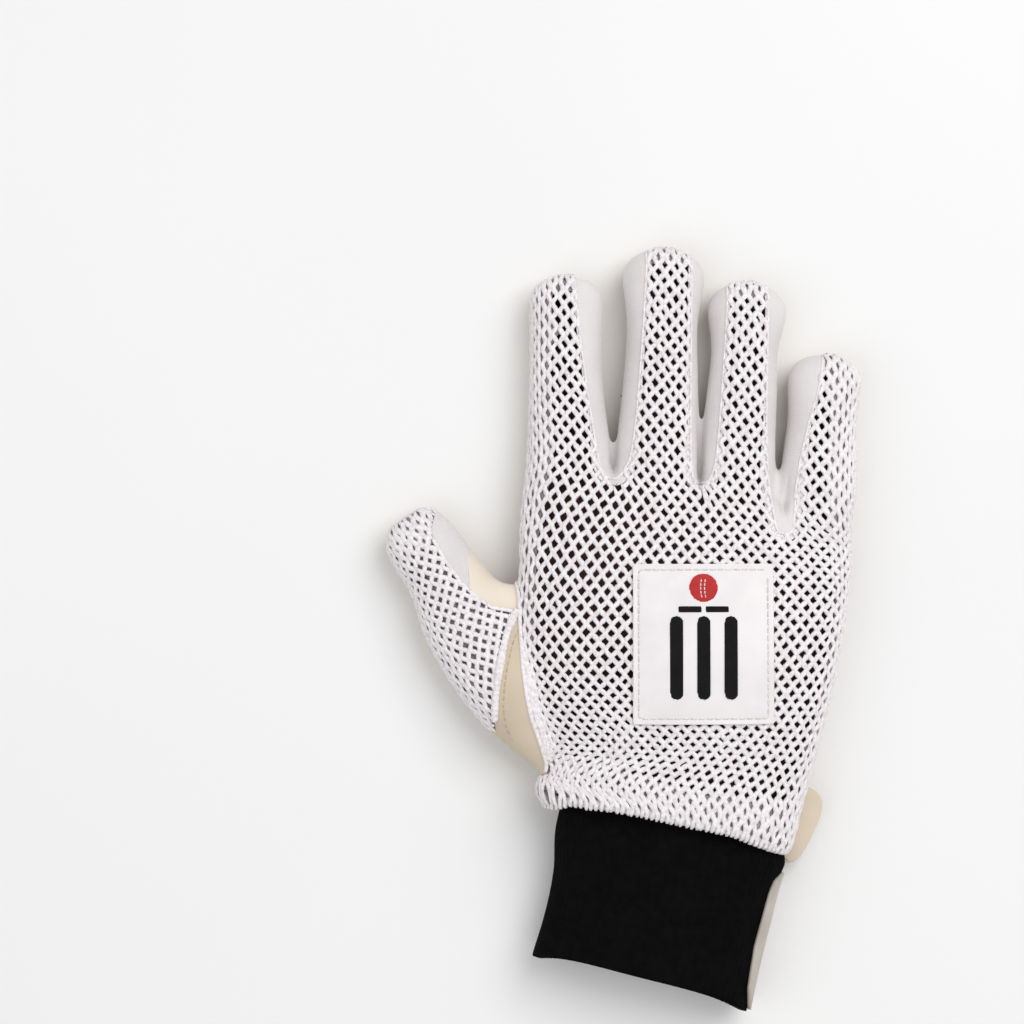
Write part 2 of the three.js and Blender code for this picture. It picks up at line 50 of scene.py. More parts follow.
camera_data = bpy.data.cameras.new("camera")
camera_data.lens = LENS_MM
camera_data.sensor_width = SENSOR_MM
camera_data.clip_start = 0.01
camera_data.dof.use_dof = False
camera = bpy.data.objects.new("camera", camera_data)
camera.location = Vector(CAMERA_AT) * MM
bpy.context.scene.collection.objects.link(camera)
bpy.context.scene.camera = camera

# Driving sizes of the hand, as in the CAD
PALM_WIDTH = 112
HAND_LENGTH = 121
HAND_DEPTH = 32
WRIST_Y = -66.5
HAND_END_Y = WRIST_Y + HAND_LENGTH
FINGER_LENGTH = 79
FINGER_WIDTH = 25
FINGER_DEPTH = 21
THUMB_LENGTH = 84
THUMB_WIDTH = 24
THUMB_DEPTH = 21
CUFF_WIDTH = 78
CUFF_LENGTH = 53
CUFF_DEPTH = 29
PALM_FLOOR = 1.5
WALL = 1.6
CUFF_WALL = 2.0
HAND_SEAM = 9.0
FINGER_SEAM = 6.5
FAR = 400.0

# Sections of the hand: at, left, right, depth, slope, lift
HAND_SECTIONS = [
    (-0.06, -0.35, 0.325, 0.9, 12, 0),
    (0, -0.354, 0.342, 0.92, 12, 0),
    (0.035, -0.392, 0.364, 1.02, 11, 0),
    (0.1, -0.402, 0.386, 1.03, 8, 0),
    (0.17, -0.376, 0.413, 0.97, 5, 0),
    (0.36, -0.42, 0.472, 1.02, 2, 0),
    (0.52, -0.45, 0.51, 1.02, 1.5, 0),
    (0.71, -0.455, 0.54, 0.96, 3, 0),
    (0.86, -0.448, 0.549, 0.86, 7, 0),
    (0.94, -0.436, 0.547, 0.79, 9.5, 0),
    (0.985, -0.425, 0.542, 0.7, 10.7, 0.03),
    (1, -0.415, 0.533, 0.54, 10.7, 0.1),
]

# The fingers: root, tip, reach, width, bulge, pinch
FINGERS = {
    "index": (-0.312, -0.312, 0.887, 0.97, 1.0, 0.98),
    "middle": (-0.034, -0.014, 1.006, 0.99, 1.13, 0.97),
    "ring": (0.206, 0.244, 0.858, 0.93, 1.16, 0.96),
    "little": (0.452, 0.479, 0.546, 0.92, 1.05, 0.97),
}

# How far each finger widens at its root, to its left and right, in mm
ROOT_SPREAD = {"index": (0, 2.6), "middle": (1.7, 1.0), "ring": (1.0, 0), "little": (0, 0)}
ROOT_SPREAD_END = 0.5
FINGER_SWELL = 0.3

# Edges of the knitted back on each finger: left and right at the root, left and right at the tip
NET_EDGES = {
    "index": (-2, 0.8, -2, 0.1),
    "middle": (-0.7, 0.82, -0.46, 0.72),
    "ring": (-0.66, 0.72, -0.62, 0.52),
    "little": (-0.72, 2, 0.02, 2),
}

# Sections along a finger: at, width, depth, floor
FINGER_SECTIONS = [(-0.45, 0.96, 1.0, 2), (0, 1.09, 1.1, 1), (0.2, 1.04, 1.07, 0), (0.45, 1.0, 1.02, 0)]
MESH_ROOT_AT = 0.12
PINCH_BELOW_TIP = 1.05
DOME_SHARE = 0.78
DOME_STEPS_DEG = (0, 20, 40, 60, 75, 86)

# Crotches between the fingers: name, at, drop
CROTCHES = [
    ("index_middle", -0.176, 0.028),
    ("middle_ring", 0.092, -0.005),
    ("ring_little", 0.34, 0.092),
]
CROTCH_HALF_WIDTH = 3.2

# Sections of the thumb: x, y, width, depth, floor
THUMB_ROOT = np.array([-0.3 * PALM_WIDTH, -0.2 * HAND_LENGTH])
THUMB_SECTIONS = [
    (0.04, -0.15, 1.2, 0.82, 0.28),
    (-0.043, -0.074, 1.33, 0.9, 0.24),
    (-0.156, 0.038, 1.43, 1.0, 0.2),
    (-0.271, 0.155, 1.38, 1.1, 0.08),
    (-0.35, 0.265, 1.36, 1.12, 0),
    (-0.429, 0.392, 1.29, 1.1, 0),
    (-0.518, 0.555, 1.06, 1.05, 0),
    (-0.62, 0.702, 0.98, 0.95, 0),
]

# Outline of the thumb's knitted back from above, as shares of THUMB_LENGTH from the thumb's root
THUMB_NET_OUTLINE = [
    (-0.3, -0.12),
    (-0.312, -0.01),
    (-0.295, 0.19),
    (-0.26, 0.34),
    (-0.225, 0.4),
    (-0.32, 0.421),
    (-0.38, 0.462),
    (-0.44, 0.519),
    (-0.481, 0.571),
    (-0.529, 0.645),
    (-0.562, 0.705),
    (-0.564, 0.745),
    (-0.552, 0.79),
    (-0.54, 0.9),
    (-0.9, 0.95),
    (-0.9, -0.12),
]

# Sections of the cuff from its open end: across, along, width, depth, floor in mm, slope
CUFF_SECTIONS = [
    (-0.138, 0.96, 0.965, 1.02, 0, 14.5),
    (-0.09, 0.68, 0.95, 0.98, 0, 13.5),
    (-0.044, 0.38, 0.96, 0.96, 0, 12.5),
    (-0.014, 0.1, 1.0, 0.94, 1.6, 12),
    (0.002, 0.02, 1.01, 0.86, 3.6, 12),
    (0.004, -0.1, 0.97, 0.83, 3.7, 11.8),
    (0.006, -0.2, 0.93, 0.8, 3.9, 11.6),
]
CUFF_START = (0.4, WRIST_Y)

# Outlines from above, as shares of PALM_WIDTH and HAND_LENGTH
PATCH_OUTLINE = [
    (-0.43, 0.42),
    (-0.4, 0.215),
    (-0.3, 0.18),
    (-0.255, 0.1),
    (-0.245, -0.08),
    (-0.25, -0.26),
    (-0.29, -0.33),
    (-0.42, -0.38),
    (0.6, -0.5),
    (0.6, 0.28),
    (0.1, 0.385),
]
LEATHER_CORNER = [
    (0.36, -0.4),
    (0.44, -0.42),
    (0.47, -0.45),
    (0.468, -0.5),
    (0.385, -0.65),
    (0.33, -0.6),
]

# The soft oval that all sections have: where it is widest, and how square its top and floor are
WIDEST_AT = 0.45
FLATTENING = 0.6
TOP_POWER = 2.3
FLOOR_POWER = 3.2


# Sections and lofts
def section(row, angles):
    """The points of a soft oval section; angle 0 is its top. row: x, y, half, low, high, turn, round."""
    x, y, half, low, high, turn, kept_share = row
    middle = low + WIDEST_AT * (high - low)
    across, up = np.sin(angles), np.cos(angles)
    power = np.where(up >= 0, 2 / TOP_POWER, 2 / FLOOR_POWER)
    out = half * kept_share * np.sign(across) * np.abs(across) ** power
    rise = np.where(up >= 0, high - middle, middle - low + FLATTENING)
    z = np.maximum(low, middle + rise * np.sign(up) * np.abs(up) ** power)
    z = middle + (z - middle) * kept_share
    return np.stack([x + out * math.cos(turn), y - out * math.sin(turn), z], axis=-1)


def smooth(knots, values, at):
    """Values of a smooth curve through the knots, at the places `at`."""
    knots = np.asarray(knots, float)
    values = np.asarray(values, float)
    at = np.clip(at, knots[0], knots[-1])
    slopes = np.gradient(values, knots, axis=0)
    i = np.clip(np.searchsorted(knots, at) - 1, 0, len(knots) - 2)
    width = (knots[i + 1] - knots[i])[:, None]
    t = (at - knots[i])[:, None] / width
    start = (1 + 2 * t) * (1 - t) ** 2 * values[i] + t * (1 - t) ** 2 * width * slopes[i]
    end = t**2 * (3 - 2 * t) * values[i + 1] + t**2 * (t - 1) * width * slopes[i + 1]
    return start + end


def step(low, high, x):
    """0 below low, 1 above high, and a soft slope between."""
    t = np.clip((x - low) / (high - low), 0, 1)
    return t * t * (3 - 2 * t)


def walked(path):
    """How far along a path each of its points lies."""
    return np.concatenate([[0], np.cumsum(np.linalg.norm(np.diff(path, axis=0), axis=1))])


def laid(run, points, places):
    """The points of a path at some distances along it; run: the distance of each of its points."""
    return np.stack([np.interp(places, run, column) for column in points.T], axis=-1)


def hand_rows():
    """Where the sections of the hand lie along it, and their rows."""
    knots, rows = [], []
    for at, left, right, depth, slope, lift in HAND_SECTIONS:
        x = (left + right) / 2 * PALM_WIDTH
        turn = math.radians(slope)
        y = WRIST_Y + at * HAND_LENGTH - x * math.tan(turn)
        half = (right - left) / 2 * PALM_WIDTH / math.cos(turn)
        low = PALM_FLOOR + lift * HAND_DEPTH
        knots.append(at * HAND_LENGTH)
        rows.append((x, y, half, low, low + depth * HAND_DEPTH, turn, 1))
    return knots, rows


def finger_at(name, at):
    """A place on a finger's middle line: 0 is its root and 1 its tip."""
    root, tip, reach = FINGERS[name][:3]
    return np.array([(root + (tip - root) * at) * PALM_WIDTH, HAND_END_Y + at * reach * FINGER_LENGTH])


def finger_rows(name):
    """Where the sections of a finger lie along it, and their rows."""
    root, tip, reach, width, bulge, pinch = FINGERS[name]
    length = reach * FINGER_LENGTH
    half = width * FINGER_WIDTH / 2
    dome = half * bulge * DOME_SHARE / length
    pinch_at = 1 - dome - PINCH_BELOW_TIP * half / length
    turn = math.atan2((tip - root) * PALM_WIDTH, length)
    table = [(*row, 1) for row in FINGER_SECTIONS if row[0] < pinch_at - 0.1]
    table.append((pinch_at, pinch, 0.98, 0, 1))
    table.append(((pinch_at + 1 - dome) / 2 + dome / 4, (pinch + 2 * bulge) / 3, 0.96, 0, 1))
    for deg in DOME_STEPS_DEG:
        turned = math.radians(deg)
        table.append((1 - dome + dome * math.sin(turned), bulge, 0.95, 0, math.cos(turned)))
    knots, rows = [], []
    for at, wide, depth, floor, kept_share in table:
        x, y = finger_at(name, at)
        low = floor * PALM_FLOOR
        near_root = 1 - step(0, ROOT_SPREAD_END, at)
        left, right = (near_root * spread + FINGER_SWELL for spread in ROOT_SPREAD[name])
        x, out = x + (right - left) / 2, half * wide + (left + right) / 2
        knots.append(at * length)
        rows.append((x, y, out, low, low + depth * FINGER_DEPTH, turn, kept_share))
    return knots, rows


def thumb_rows():
    """Where the sections of the thumb lie along it, and their rows."""
    centres = np.array([THUMB_ROOT + np.array(row[:2]) * THUMB_LENGTH for row in THUMB_SECTIONS])
    rows = []
    for i, (_, _, width, depth, floor) in enumerate(THUMB_SECTIONS):
        before, after = centres[max(i - 1, 0)], centres[min(i + 1, len(centres) - 1)]
        turn = math.atan2(after[0] - before[0], after[1] - before[1])
        low = floor * THUMB_DEPTH
        rows.append((*centres[i], width * THUMB_WIDTH / 2, low, low + depth * THUMB_DEPTH, turn, 1))
    x, y, half, low, high, turn, _ = rows[-1]
    for deg in DOME_STEPS_DEG[1:]:
        out = half * DOME_SHARE * math.sin(math.radians(deg))
        rounded = math.cos(math.radians(deg))
        rows.append((x + out * math.sin(turn), y + out * math.cos(turn), half, low, high, turn, rounded))
    path = np.array([row[:2] for row in rows])
    return walked(path).tolist(), rows


def cuff_rows():
    """Where the sections of the cuff lie along it, and their rows."""
    knots, rows = [], []
    for across, along, width, depth, floor, slope in CUFF_SECTIONS:
        x, y = CUFF_START[0] + across * CUFF_WIDTH, CUFF_START[1] - along * CUFF_LENGTH
        half, high = width * CUFF_WIDTH / 2, floor + depth * CUFF_DEPTH
        knots.append(-along * CUFF_LENGTH)
        rows.append((x, y, half, floor, high, math.radians(slope), 1))
    return knots, rows


def grid_faces(rows, columns, closed):
    """Quads of a grid of points; closed joins its last column to its first."""
    r = np.arange(rows - 1)[:, None]
    c = np.arange(columns if closed else columns - 1)[None, :]
    a, b = r * columns + c, r * columns + (c + 1) % columns
    return np.stack([a, b, b + columns, a + columns], axis=-1).reshape(-1, 4)


def triangles_of(quads):
    """Each quad as two triangles."""
    return np.concatenate([quads[:, [0, 1, 2]], quads[:, [0, 2, 3]]])


def closed_loft(knots, rows, spacing=1.5, sides=72):
    """A closed body through a row of sections, as points and triangles."""
    count = max(2, int((knots[-1] - knots[0]) / spacing))
    dense = smooth(knots, rows, np.linspace(knots[0], knots[-1], count))
    angles = np.linspace(0, 2 * math.pi, sides, endpoint=False)
    points = np.concatenate([section(row, angles) for row in dense])
    quads = grid_faces(count, sides, True)
    i = np.arange(sides)
    first = np.stack([np.full(sides, len(points)), (i + 1) % sides, i], axis=-1)
    last = np.stack([np.full(sides, len(points) + 1), len(points) - sides + i], axis=-1)
    last = np.column_stack([last, len(points) - sides + (i + 1) % sides])
    ends = [points[:sides].mean(axis=0), points[-sides:].mean(axis=0)]
    return np.vstack([points, ends]), np.concatenate([triangles_of(quads), first, last])


# Meshes as (points, triangles)
def joined(parts):
    """Several meshes as one."""
    points, faces, start = [], [], 0
    for part_points, part_faces in parts:
        points.append(part_points)
        faces.append(np.asarray(part_faces) + start)
        start += len(part_points)
    return np.concatenate(points), np.concatenate(faces)


def evaluated(mesh, modifiers):
    """The mesh with Blender modifiers worked into it. modifiers: (kind, settings)."""
    points, faces = mesh
    data = bpy.data.meshes.new("work")
    data.from_pydata((points * MM).tolist(), [], faces.tolist())
    work = bpy.data.objects.new("work", data)
    bpy.context.scene.collection.objects.link(work)
    for kind, settings in modifiers:
        modifier = work.modifiers.new(kind, kind)
        for key, value in settings.items():
            setattr(modifier, key, value)
    made = work.evaluated_get(bpy.context.evaluated_depsgraph_get()).to_mesh()
    made.calc_loop_triangles()
    points = np.empty(len(made.vertices) * 3)
    made.vertices.foreach_get("co", points)
    triangles = np.empty(len(made.loop_triangles) * 3, int)
    made.loop_triangles.foreach_get("vertices", triangles)
    bpy.data.objects.remove(work)
    bpy.data.meshes.remove(data)
    return points.reshape(-1, 3) / MM, triangles.reshape(-1, 3)


def relaxed(points, triangles, weights, rounds):
    """The points moved towards the mean of their neighbours, by a weight each."""
    edges = np.concatenate([triangles[:, [0, 1]], triangles[:, [1, 2]], triangles[:, [2, 0]]])
    edges = np.unique(np.sort(edges, axis=1), axis=0)
    ends, others = np.concatenate([edges, edges[:, ::-1]]).T
    count = np.bincount(ends, minlength=len(points))[:, None]
    for _ in range(rounds):
        total = [np.bincount(ends, points[others, axis], len(points)) for axis in range(3)]
        points = points + weights[:, None] * (np.stack(total, axis=-1) / count - points)
    return points


def normals_of(points, triangles):
    """The soft normals of a mesh at its points."""
    a, b, c = (points[triangles[:, i]] for i in range(3))
    facing = np.cross(b - a, c - a)
    total = np.empty_like(points)
    for axis in range(3):
        parts = [np.bincount(triangles[:, i], facing[:, axis], len(points)) for i in range(3)]
        total[:, axis] = sum(parts)
    return total / np.maximum(np.linalg.norm(total, axis=1, keepdims=True), 1e-9)


def lifted(mesh, height):
    """A mesh moved outwards along its soft normals, or inwards where the height is below zero."""
    points, faces = mesh
    return points + normals_of(points, faces) * height, faces


def kept(mesh, field):
    """The part of a mesh where the field of a point is above zero, cut cleanly along its zero line."""
    points, triangles = mesh
    value = field(points)
    value = np.where(np.abs(value) < 1e-6, 1e-6, value)
    inside = value[triangles] > 0
    count = inside.sum(axis=1)
    edges, found = {}, []

    def crossing(a, b):
        key = (min(a, b), max(a, b))
        if key not in edges:
            share = value[a] / (value[a] - value[b])
            edges[key] = len(points) + len(found)
            found.append(points[a] + share * (points[b] - points[a]))
        return edges[key]

    cut = []
    crossed = (count == 1) | (count == 2)
    for triangle, is_in, n in zip(triangles[crossed], inside[crossed], count[crossed]):
        odd = int(np.argmax(is_in)) if n == 1 else int(np.argmin(is_in))
        a, b, c = np.roll(triangle, -odd).tolist()
        if n == 1:
            cut.append((a, crossing(a, b), crossing(a, c)))
        else:
            ab, ac = crossing(a, b), crossing(a, c)
            cut.append((ab, b, c))
            cut.append((ab, c, ac))
    everything = np.vstack([points, found]) if found else points
    faces = np.concatenate([triangles[count == 3], np.array(cut, int).reshape(-1, 3)])
    used, renumbered = np.unique(faces, return_inverse=True)
    return everything[used], renumbered.reshape(-1, 3)


def border_paths(mesh):
    """The open edges of a mesh, chained into closed paths of points."""
    points, triangles = mesh
    edges = np.concatenate([triangles[:, [0, 1]], triangles[:, [1, 2]], triangles[:, [2, 0]]])
    sides = np.sort(edges, axis=1)
    _, index, count = np.unique(sides, axis=0, return_index=True, return_counts=True)
    follow = {int(a): int(b) for a, b in edges[index[count == 1]]}
    paths = []
    while follow:
        start, at = follow.popitem()
        path = [start]
        while at in follow:
            path.append(at)
            at = follow.pop(at)
        path.append(at)
        paths.append(points[path])
    return paths


def outline_distance(outline, xy):
    """Distance of each point to a closed outline from above: above zero inside, below zero outside."""
    outline = np.asarray(outline, float)
    best = np.full(len(xy), np.inf)
    inside = np.zeros(len(xy), bool)
    for a, b in zip(outline, np.roll(outline, -1, axis=0)):
        edge, to = b - a, xy - a
        share = np.clip(to @ edge / max(edge @ edge, 1e-9), 0, 1)
        best = np.minimum(best, np.linalg.norm(to - share[:, None] * edge, axis=1))
        crosses = (a[1] > xy[:, 1]) != (b[1] > xy[:, 1])
        rise = np.where(edge[1] == 0, 1e-9, edge[1])
        inside ^= crosses & (xy[:, 0] < a[0] + (xy[:, 1] - a[1]) / rise * edge[0])
    return np.where(inside, best, -best)


def rounded(outline, cuts=3):
    """An outline with its corners cut softer and softer."""
    outline = np.asarray(outline, float)
    for _ in range(cuts):
        after = np.roll(outline, -1, axis=0)
        near, far = 0.75 * outline + 0.25 * after, 0.25 * outline + 0.75 * after
        outline = np.stack([near, far], axis=1).reshape(-1, 2)
    return outline


def spaced(path, pitch):
    """A path of points walked at an even pitch."""
    path = np.asarray(path, float)
    run = walked(path)
    places = np.linspace(0, run[-1], max(2, int(round(run[-1] / pitch)) + 1))
    return laid(run, path, places)


def relaxed_path(path, rounds):
    """A path with its small corners smoothed out; its ends stay."""
    path = np.array(path, float)
    for _ in range(rounds):
        path[1:-1] += 0.5 * ((path[:-2] + path[2:]) / 2 - path[1:-1])
    return path


def tube(path, normals, half_width, half_height, sides=6):
    """A yarn or seam along a path: an oval, half_width across and half_height along the normals."""
    path = np.asarray(path, float)
    along = np.gradient(path, axis=0)
    side = np.cross(along, normals)
    side /= np.maximum(np.linalg.norm(side, axis=1, keepdims=True), 1e-9)
    up = np.cross(side, along)
    up /= np.maximum(np.linalg.norm(up, axis=1, keepdims=True), 1e-9)
    angles = np.linspace(0, 2 * math.pi, sides, endpoint=False)
    wide = np.broadcast_to(half_width, len(path))[:, None, None]
    tall = np.broadcast_to(half_height, len(path))[:, None, None]
    ring = side[:, None] * wide * np.cos(angles)[:, None] + up[:, None] * tall * np.sin(angles)[:, None]
    points = (path[:, None] + ring).reshape(-1, 3)
    quads = grid_faces(len(path), sides, True)
    caps = [[0, i + 1, i] for i in range(1, sides - 1)]
    last = len(points) - sides
    caps += [[last, last + i, last + i + 1] for i in range(1, sides - 1)]
    return points, np.concatenate([triangles_of(quads), caps])


def runs_of(flags):
    """The stretches of a row where the flags are set."""
    stretches = np.split(np.arange(len(flags)), np.flatnonzero(np.diff(flags.astype(int))) + 1)
    return [run for run in stretches if flags[run[0]] and len(run) > 3]


# The web between thumb and hand: x, y, half width, lowest and highest point of its sections
WEB_SECTIONS = [
    (-54, 0, 7, 6, 20),
    (-55.5, 8, 8, 6, 19.5),
    (-56, 14, 7, 7, 18),
    (-56, 17.5, 5, 8, 17),
    (-56, 19.7, 2.5, 10, 15),
]
# A body that closes the crotch of ring and little finger, by the same measures
CROTCH_SECTIONS = [
    (37, 42, 3, 8, 18),
    (37, 47, 2.6, 8.5, 17.5),
    (37, 51, 2.2, 9, 17),
    (37.4, 54, 1.4, 10, 16),
    (37.6, 56, 0.8, 11, 15),
]

# The skin of the whole glove: the bodies melted into one and smoothed, most at the thumb's web
VOXEL = 0.85
SKIN_SOFTNESS = 0.5
SKIN_ROUNDS = 18
WEB_ROUNDS = 45
WEB_CENTRE = np.array([-57.0, 12.0])
WEB_REACH = 26.0

bodies = {name: closed_loft(*finger_rows(name)) for name in FINGERS}
bodies["hand"] = closed_loft(*hand_rows())
bodies["thumb"] = closed_loft(*thumb_rows())
for name, sections in (("web", WEB_SECTIONS), ("crotch", CROTCH_SECTIONS)):
    bodies[name] = closed_loft([row[1] for row in sections], [(*row, 0, 1) for row in sections])
remesh = {"mode": "VOXEL", "voxel_size": VOXEL * MM}
skin_points, skin_faces = evaluated(joined(list(bodies.values())), [("REMESH", remesh)])
skin_points = relaxed(skin_points, skin_faces, np.full(len(skin_points), SKIN_SOFTNESS), SKIN_ROUNDS)
from_web = np.linalg.norm(skin_points[:, :2] - WEB_CENTRE, axis=1)
web_weight = SKIN_SOFTNESS * (1 - step(0.35 * WEB_REACH, WEB_REACH, from_web))
skin_points = relaxed(skin_points, skin_faces, web_weight, WEB_ROUNDS)

# Creases where neighbouring fingers press together: x and y of both ends, and the crease's floor
TOUCHES = [
    ((10.2, 53.5), (11.0, 90.0), 11),
    ((38.2, 44.0), (38.2, 62.0), 18.5),
    ((-19.3, 56.5), (-18.9, 74.0), 11),
]
TOUCH_DEPTH = 16.0
TOUCH_HALF_WIDTH = 0.9
facing_up = normals_of(skin_points, skin_faces)[:, 2] > 0
for start, end, floor in TOUCHES:
    share = np.clip((skin_points[:, 1] - start[1]) / (end[1] - start[1]), 0, 1)
    line = start[0] + share * (end[0] - start[0])
    across = np.abs(skin_points[:, 0] - line)
    near = np.exp(-((across / TOUCH_HALF_WIDTH) ** 2))
    skin_y = skin_points[:, 1]
    in_reach = step(start[1] - 3, start[1] + 5, skin_y) * (1 - step(end[1] - 4, end[1], skin_y))
    sunk = skin_points[:, 2] - TOUCH_DEPTH * near * in_reach
    lowered = facing_up & (skin_points[:, 2] > floor)
    skin_points[:, 2] = np.where(lowered, np.maximum(sunk, floor), skin_points[:, 2])
skin_points = relaxed(skin_points, skin_faces, np.full(len(skin_points), 0.4), 1)
skin_normals = normals_of(skin_points, skin_faces)
skin = (skin_points, skin_faces)
skin_tree = BVHTree.FromPolygons(skin_points.tolist(), skin_faces.tolist())


def tree_of(name):
    """A search tree over one of the bodies."""
    points, faces = bodies[name]
    return BVHTree.FromPolygons(points.tolist(), faces.tolist())


def signed_distance(tree, points):
    """Distance to a closed body: above zero outside it."""
    found = np.empty(len(points))
    for i, point in enumerate(points):
        place, normal, _, distance = tree.find_nearest(Vector(point))
        found[i] = math.copysign(distance, (Vector(point) - place).dot(normal))
    return found


def on_skin(points):
    """The nearest places on the skin, with the skin's soft normals there."""
    places, normals = np.empty_like(points), np.empty_like(points)
    for i, point in enumerate(points):
        place, _, face, _ = skin_tree.find_nearest(Vector(point))
        corners = skin_faces[face]
        near = 1 / (np.linalg.norm(skin_points[corners] - np.array(place), axis=1) + 1e-3)
        normal = (skin_normals[corners] * near[:, None]).sum(axis=0)
        places[i] = place
        normals[i] = normal / np.linalg.norm(normal)
    return places, normals


def from_above(xy):
    """The places on the skin's top, straight under points of a plan, with the soft normals there."""
    points = []
    for x, y in xy:
        hit = skin_tree.ray_cast(Vector((x, y, FAR)), Vector((0, 0, -1)))[0]
        points.append(hit if hit else (x, y, HAND_SEAM))
    return on_skin(np.array([list(p) for p in points], float))


# Fields that part the skin into panels: above zero inside
HAND_TURN = math.radians(HAND_SECTIONS[-1][4])
WRIST_TURN = math.radians(HAND_SECTIONS[1][4])


def seam_height(points):
    """Height of the seam between leather and knitted back, lower on the fingers."""
    half = FINGER_WIDTH / 2
    share = np.clip((points[:, 1] - HAND_END_Y + half) / (2 * half), 0, 1)
    return HAND_SEAM + share * (FINGER_SEAM - HAND_SEAM)


def above_seam(points):
    """Above zero over that seam."""
    return points[:, 2] - seam_height(points)


WRIST_TRIM = 3.5


def past_wrist(points):
    """Above zero past the slanted edge of the wrist."""
    return points[:, 1] - WRIST_Y + points[:, 0] * math.tan(WRIST_TURN) - WRIST_TRIM


def net_edge(name, end, side):
    """A point on the edge of a finger's knitted back; side 0 is left and 1 right."""
    x, y = finger_at(name, MESH_ROOT_AT if end == "root" else 1)
    share = NET_EDGES[name][(0 if end == "root" else 2) + side]
    return np.array([x + share * FINGERS[name][3] * FINGER_WIDTH / 2, y])


def fourchette_outline(i):
    """The opening between two knitted finger backs that a fourchette fills, from above."""
    _, at, drop = CROTCHES[i]
    x = at * PALM_WIDTH
    y = HAND_END_Y - x * math.tan(HAND_TURN) - drop * HAND_LENGTH
    left, right = list(FINGERS)[i : i + 2]
    w = CROTCH_HALF_WIDTH
    left_root, left_tip = net_edge(left, "root", 1), net_edge(left, "tip", 1)
    right_root, right_tip = net_edge(right, "root", 0), net_edge(right, "tip", 0)
    up = [right_root, right_tip, right_tip + (0, 60)]
    down = [left_tip + (0, 60), left_tip, left_root]
    return [(x - w / 2, y), (x + w / 2, y), (x + w, y + w / 2), *up, *down, (x - w, y + w / 2)]


openings = [rounded(fourchette_outline(i), 2) for i in range(len(CROTCHES))]
thumb_net_outline = rounded([THUMB_ROOT + np.array(p) * THUMB_LENGTH for p in THUMB_NET_OUTLINE], 2)
patch_outline = rounded([(x * PALM_WIDTH, y * HAND_LENGTH) for x, y in PATCH_OUTLINE], 2)
hand_tree, thumb_tree, web_tree = tree_of("hand"), tree_of("thumb"), tree_of("web")


# The edge of the hand's knitted back beside the thumb, from above, in mm
NET_SIDE_Y = [-60.0, -48.5, -45.0, -42.0, -34.9, -26.2, -18.0, -8.7, 3.8, 16.3, 24.0, 40.0]
NET_SIDE_X = [-54.0, -51.5, -42.5, -41.8, -43.9, -47.0, -48.8, -50.0, -50.8, -51.3, -53.5, -58.0]


THUMB_MARGIN = 0.4
NEAR_THUMB = (-36.0, 60.0)


def on_thumb(points):
    """Above zero where the skin belongs to the thumb more than to the hand."""
    found = np.full(len(points), -FAR)
    near = np.flatnonzero((points[:, 0] < NEAR_THUMB[0]) & (points[:, 1] < NEAR_THUMB[1]))
    close = points[near]
    from_thumb = np.minimum(signed_distance(thumb_tree, close), signed_distance(web_tree, close))
    below = signed_distance(hand_tree, close) - from_thumb - THUMB_MARGIN
    above = np.interp(close[:, 1], NET_SIDE_Y, NET_SIDE_X) - close[:, 0]
    share = step(HAND_SEAM - 3, HAND_SEAM, close[:, 2])
    found[near] = share * above + (1 - share) * below
    return found


def in_opening(points):
    """Above zero where a fourchette lies."""
    return np.max([outline_distance(outline, points[:, :2]) for outline in openings], axis=0)


# Materials
def linear(colour):
    """A colour of 0 to 255 steps as Blender's linear values."""
    shares = [v / 255 for v in colour]
    return (*[v / 12.92 if v <= 0.04045 else ((v + 0.055) / 1.055) ** 2.4 for v in shares], 1)


ROUGHNESS_RANGE = 0.07


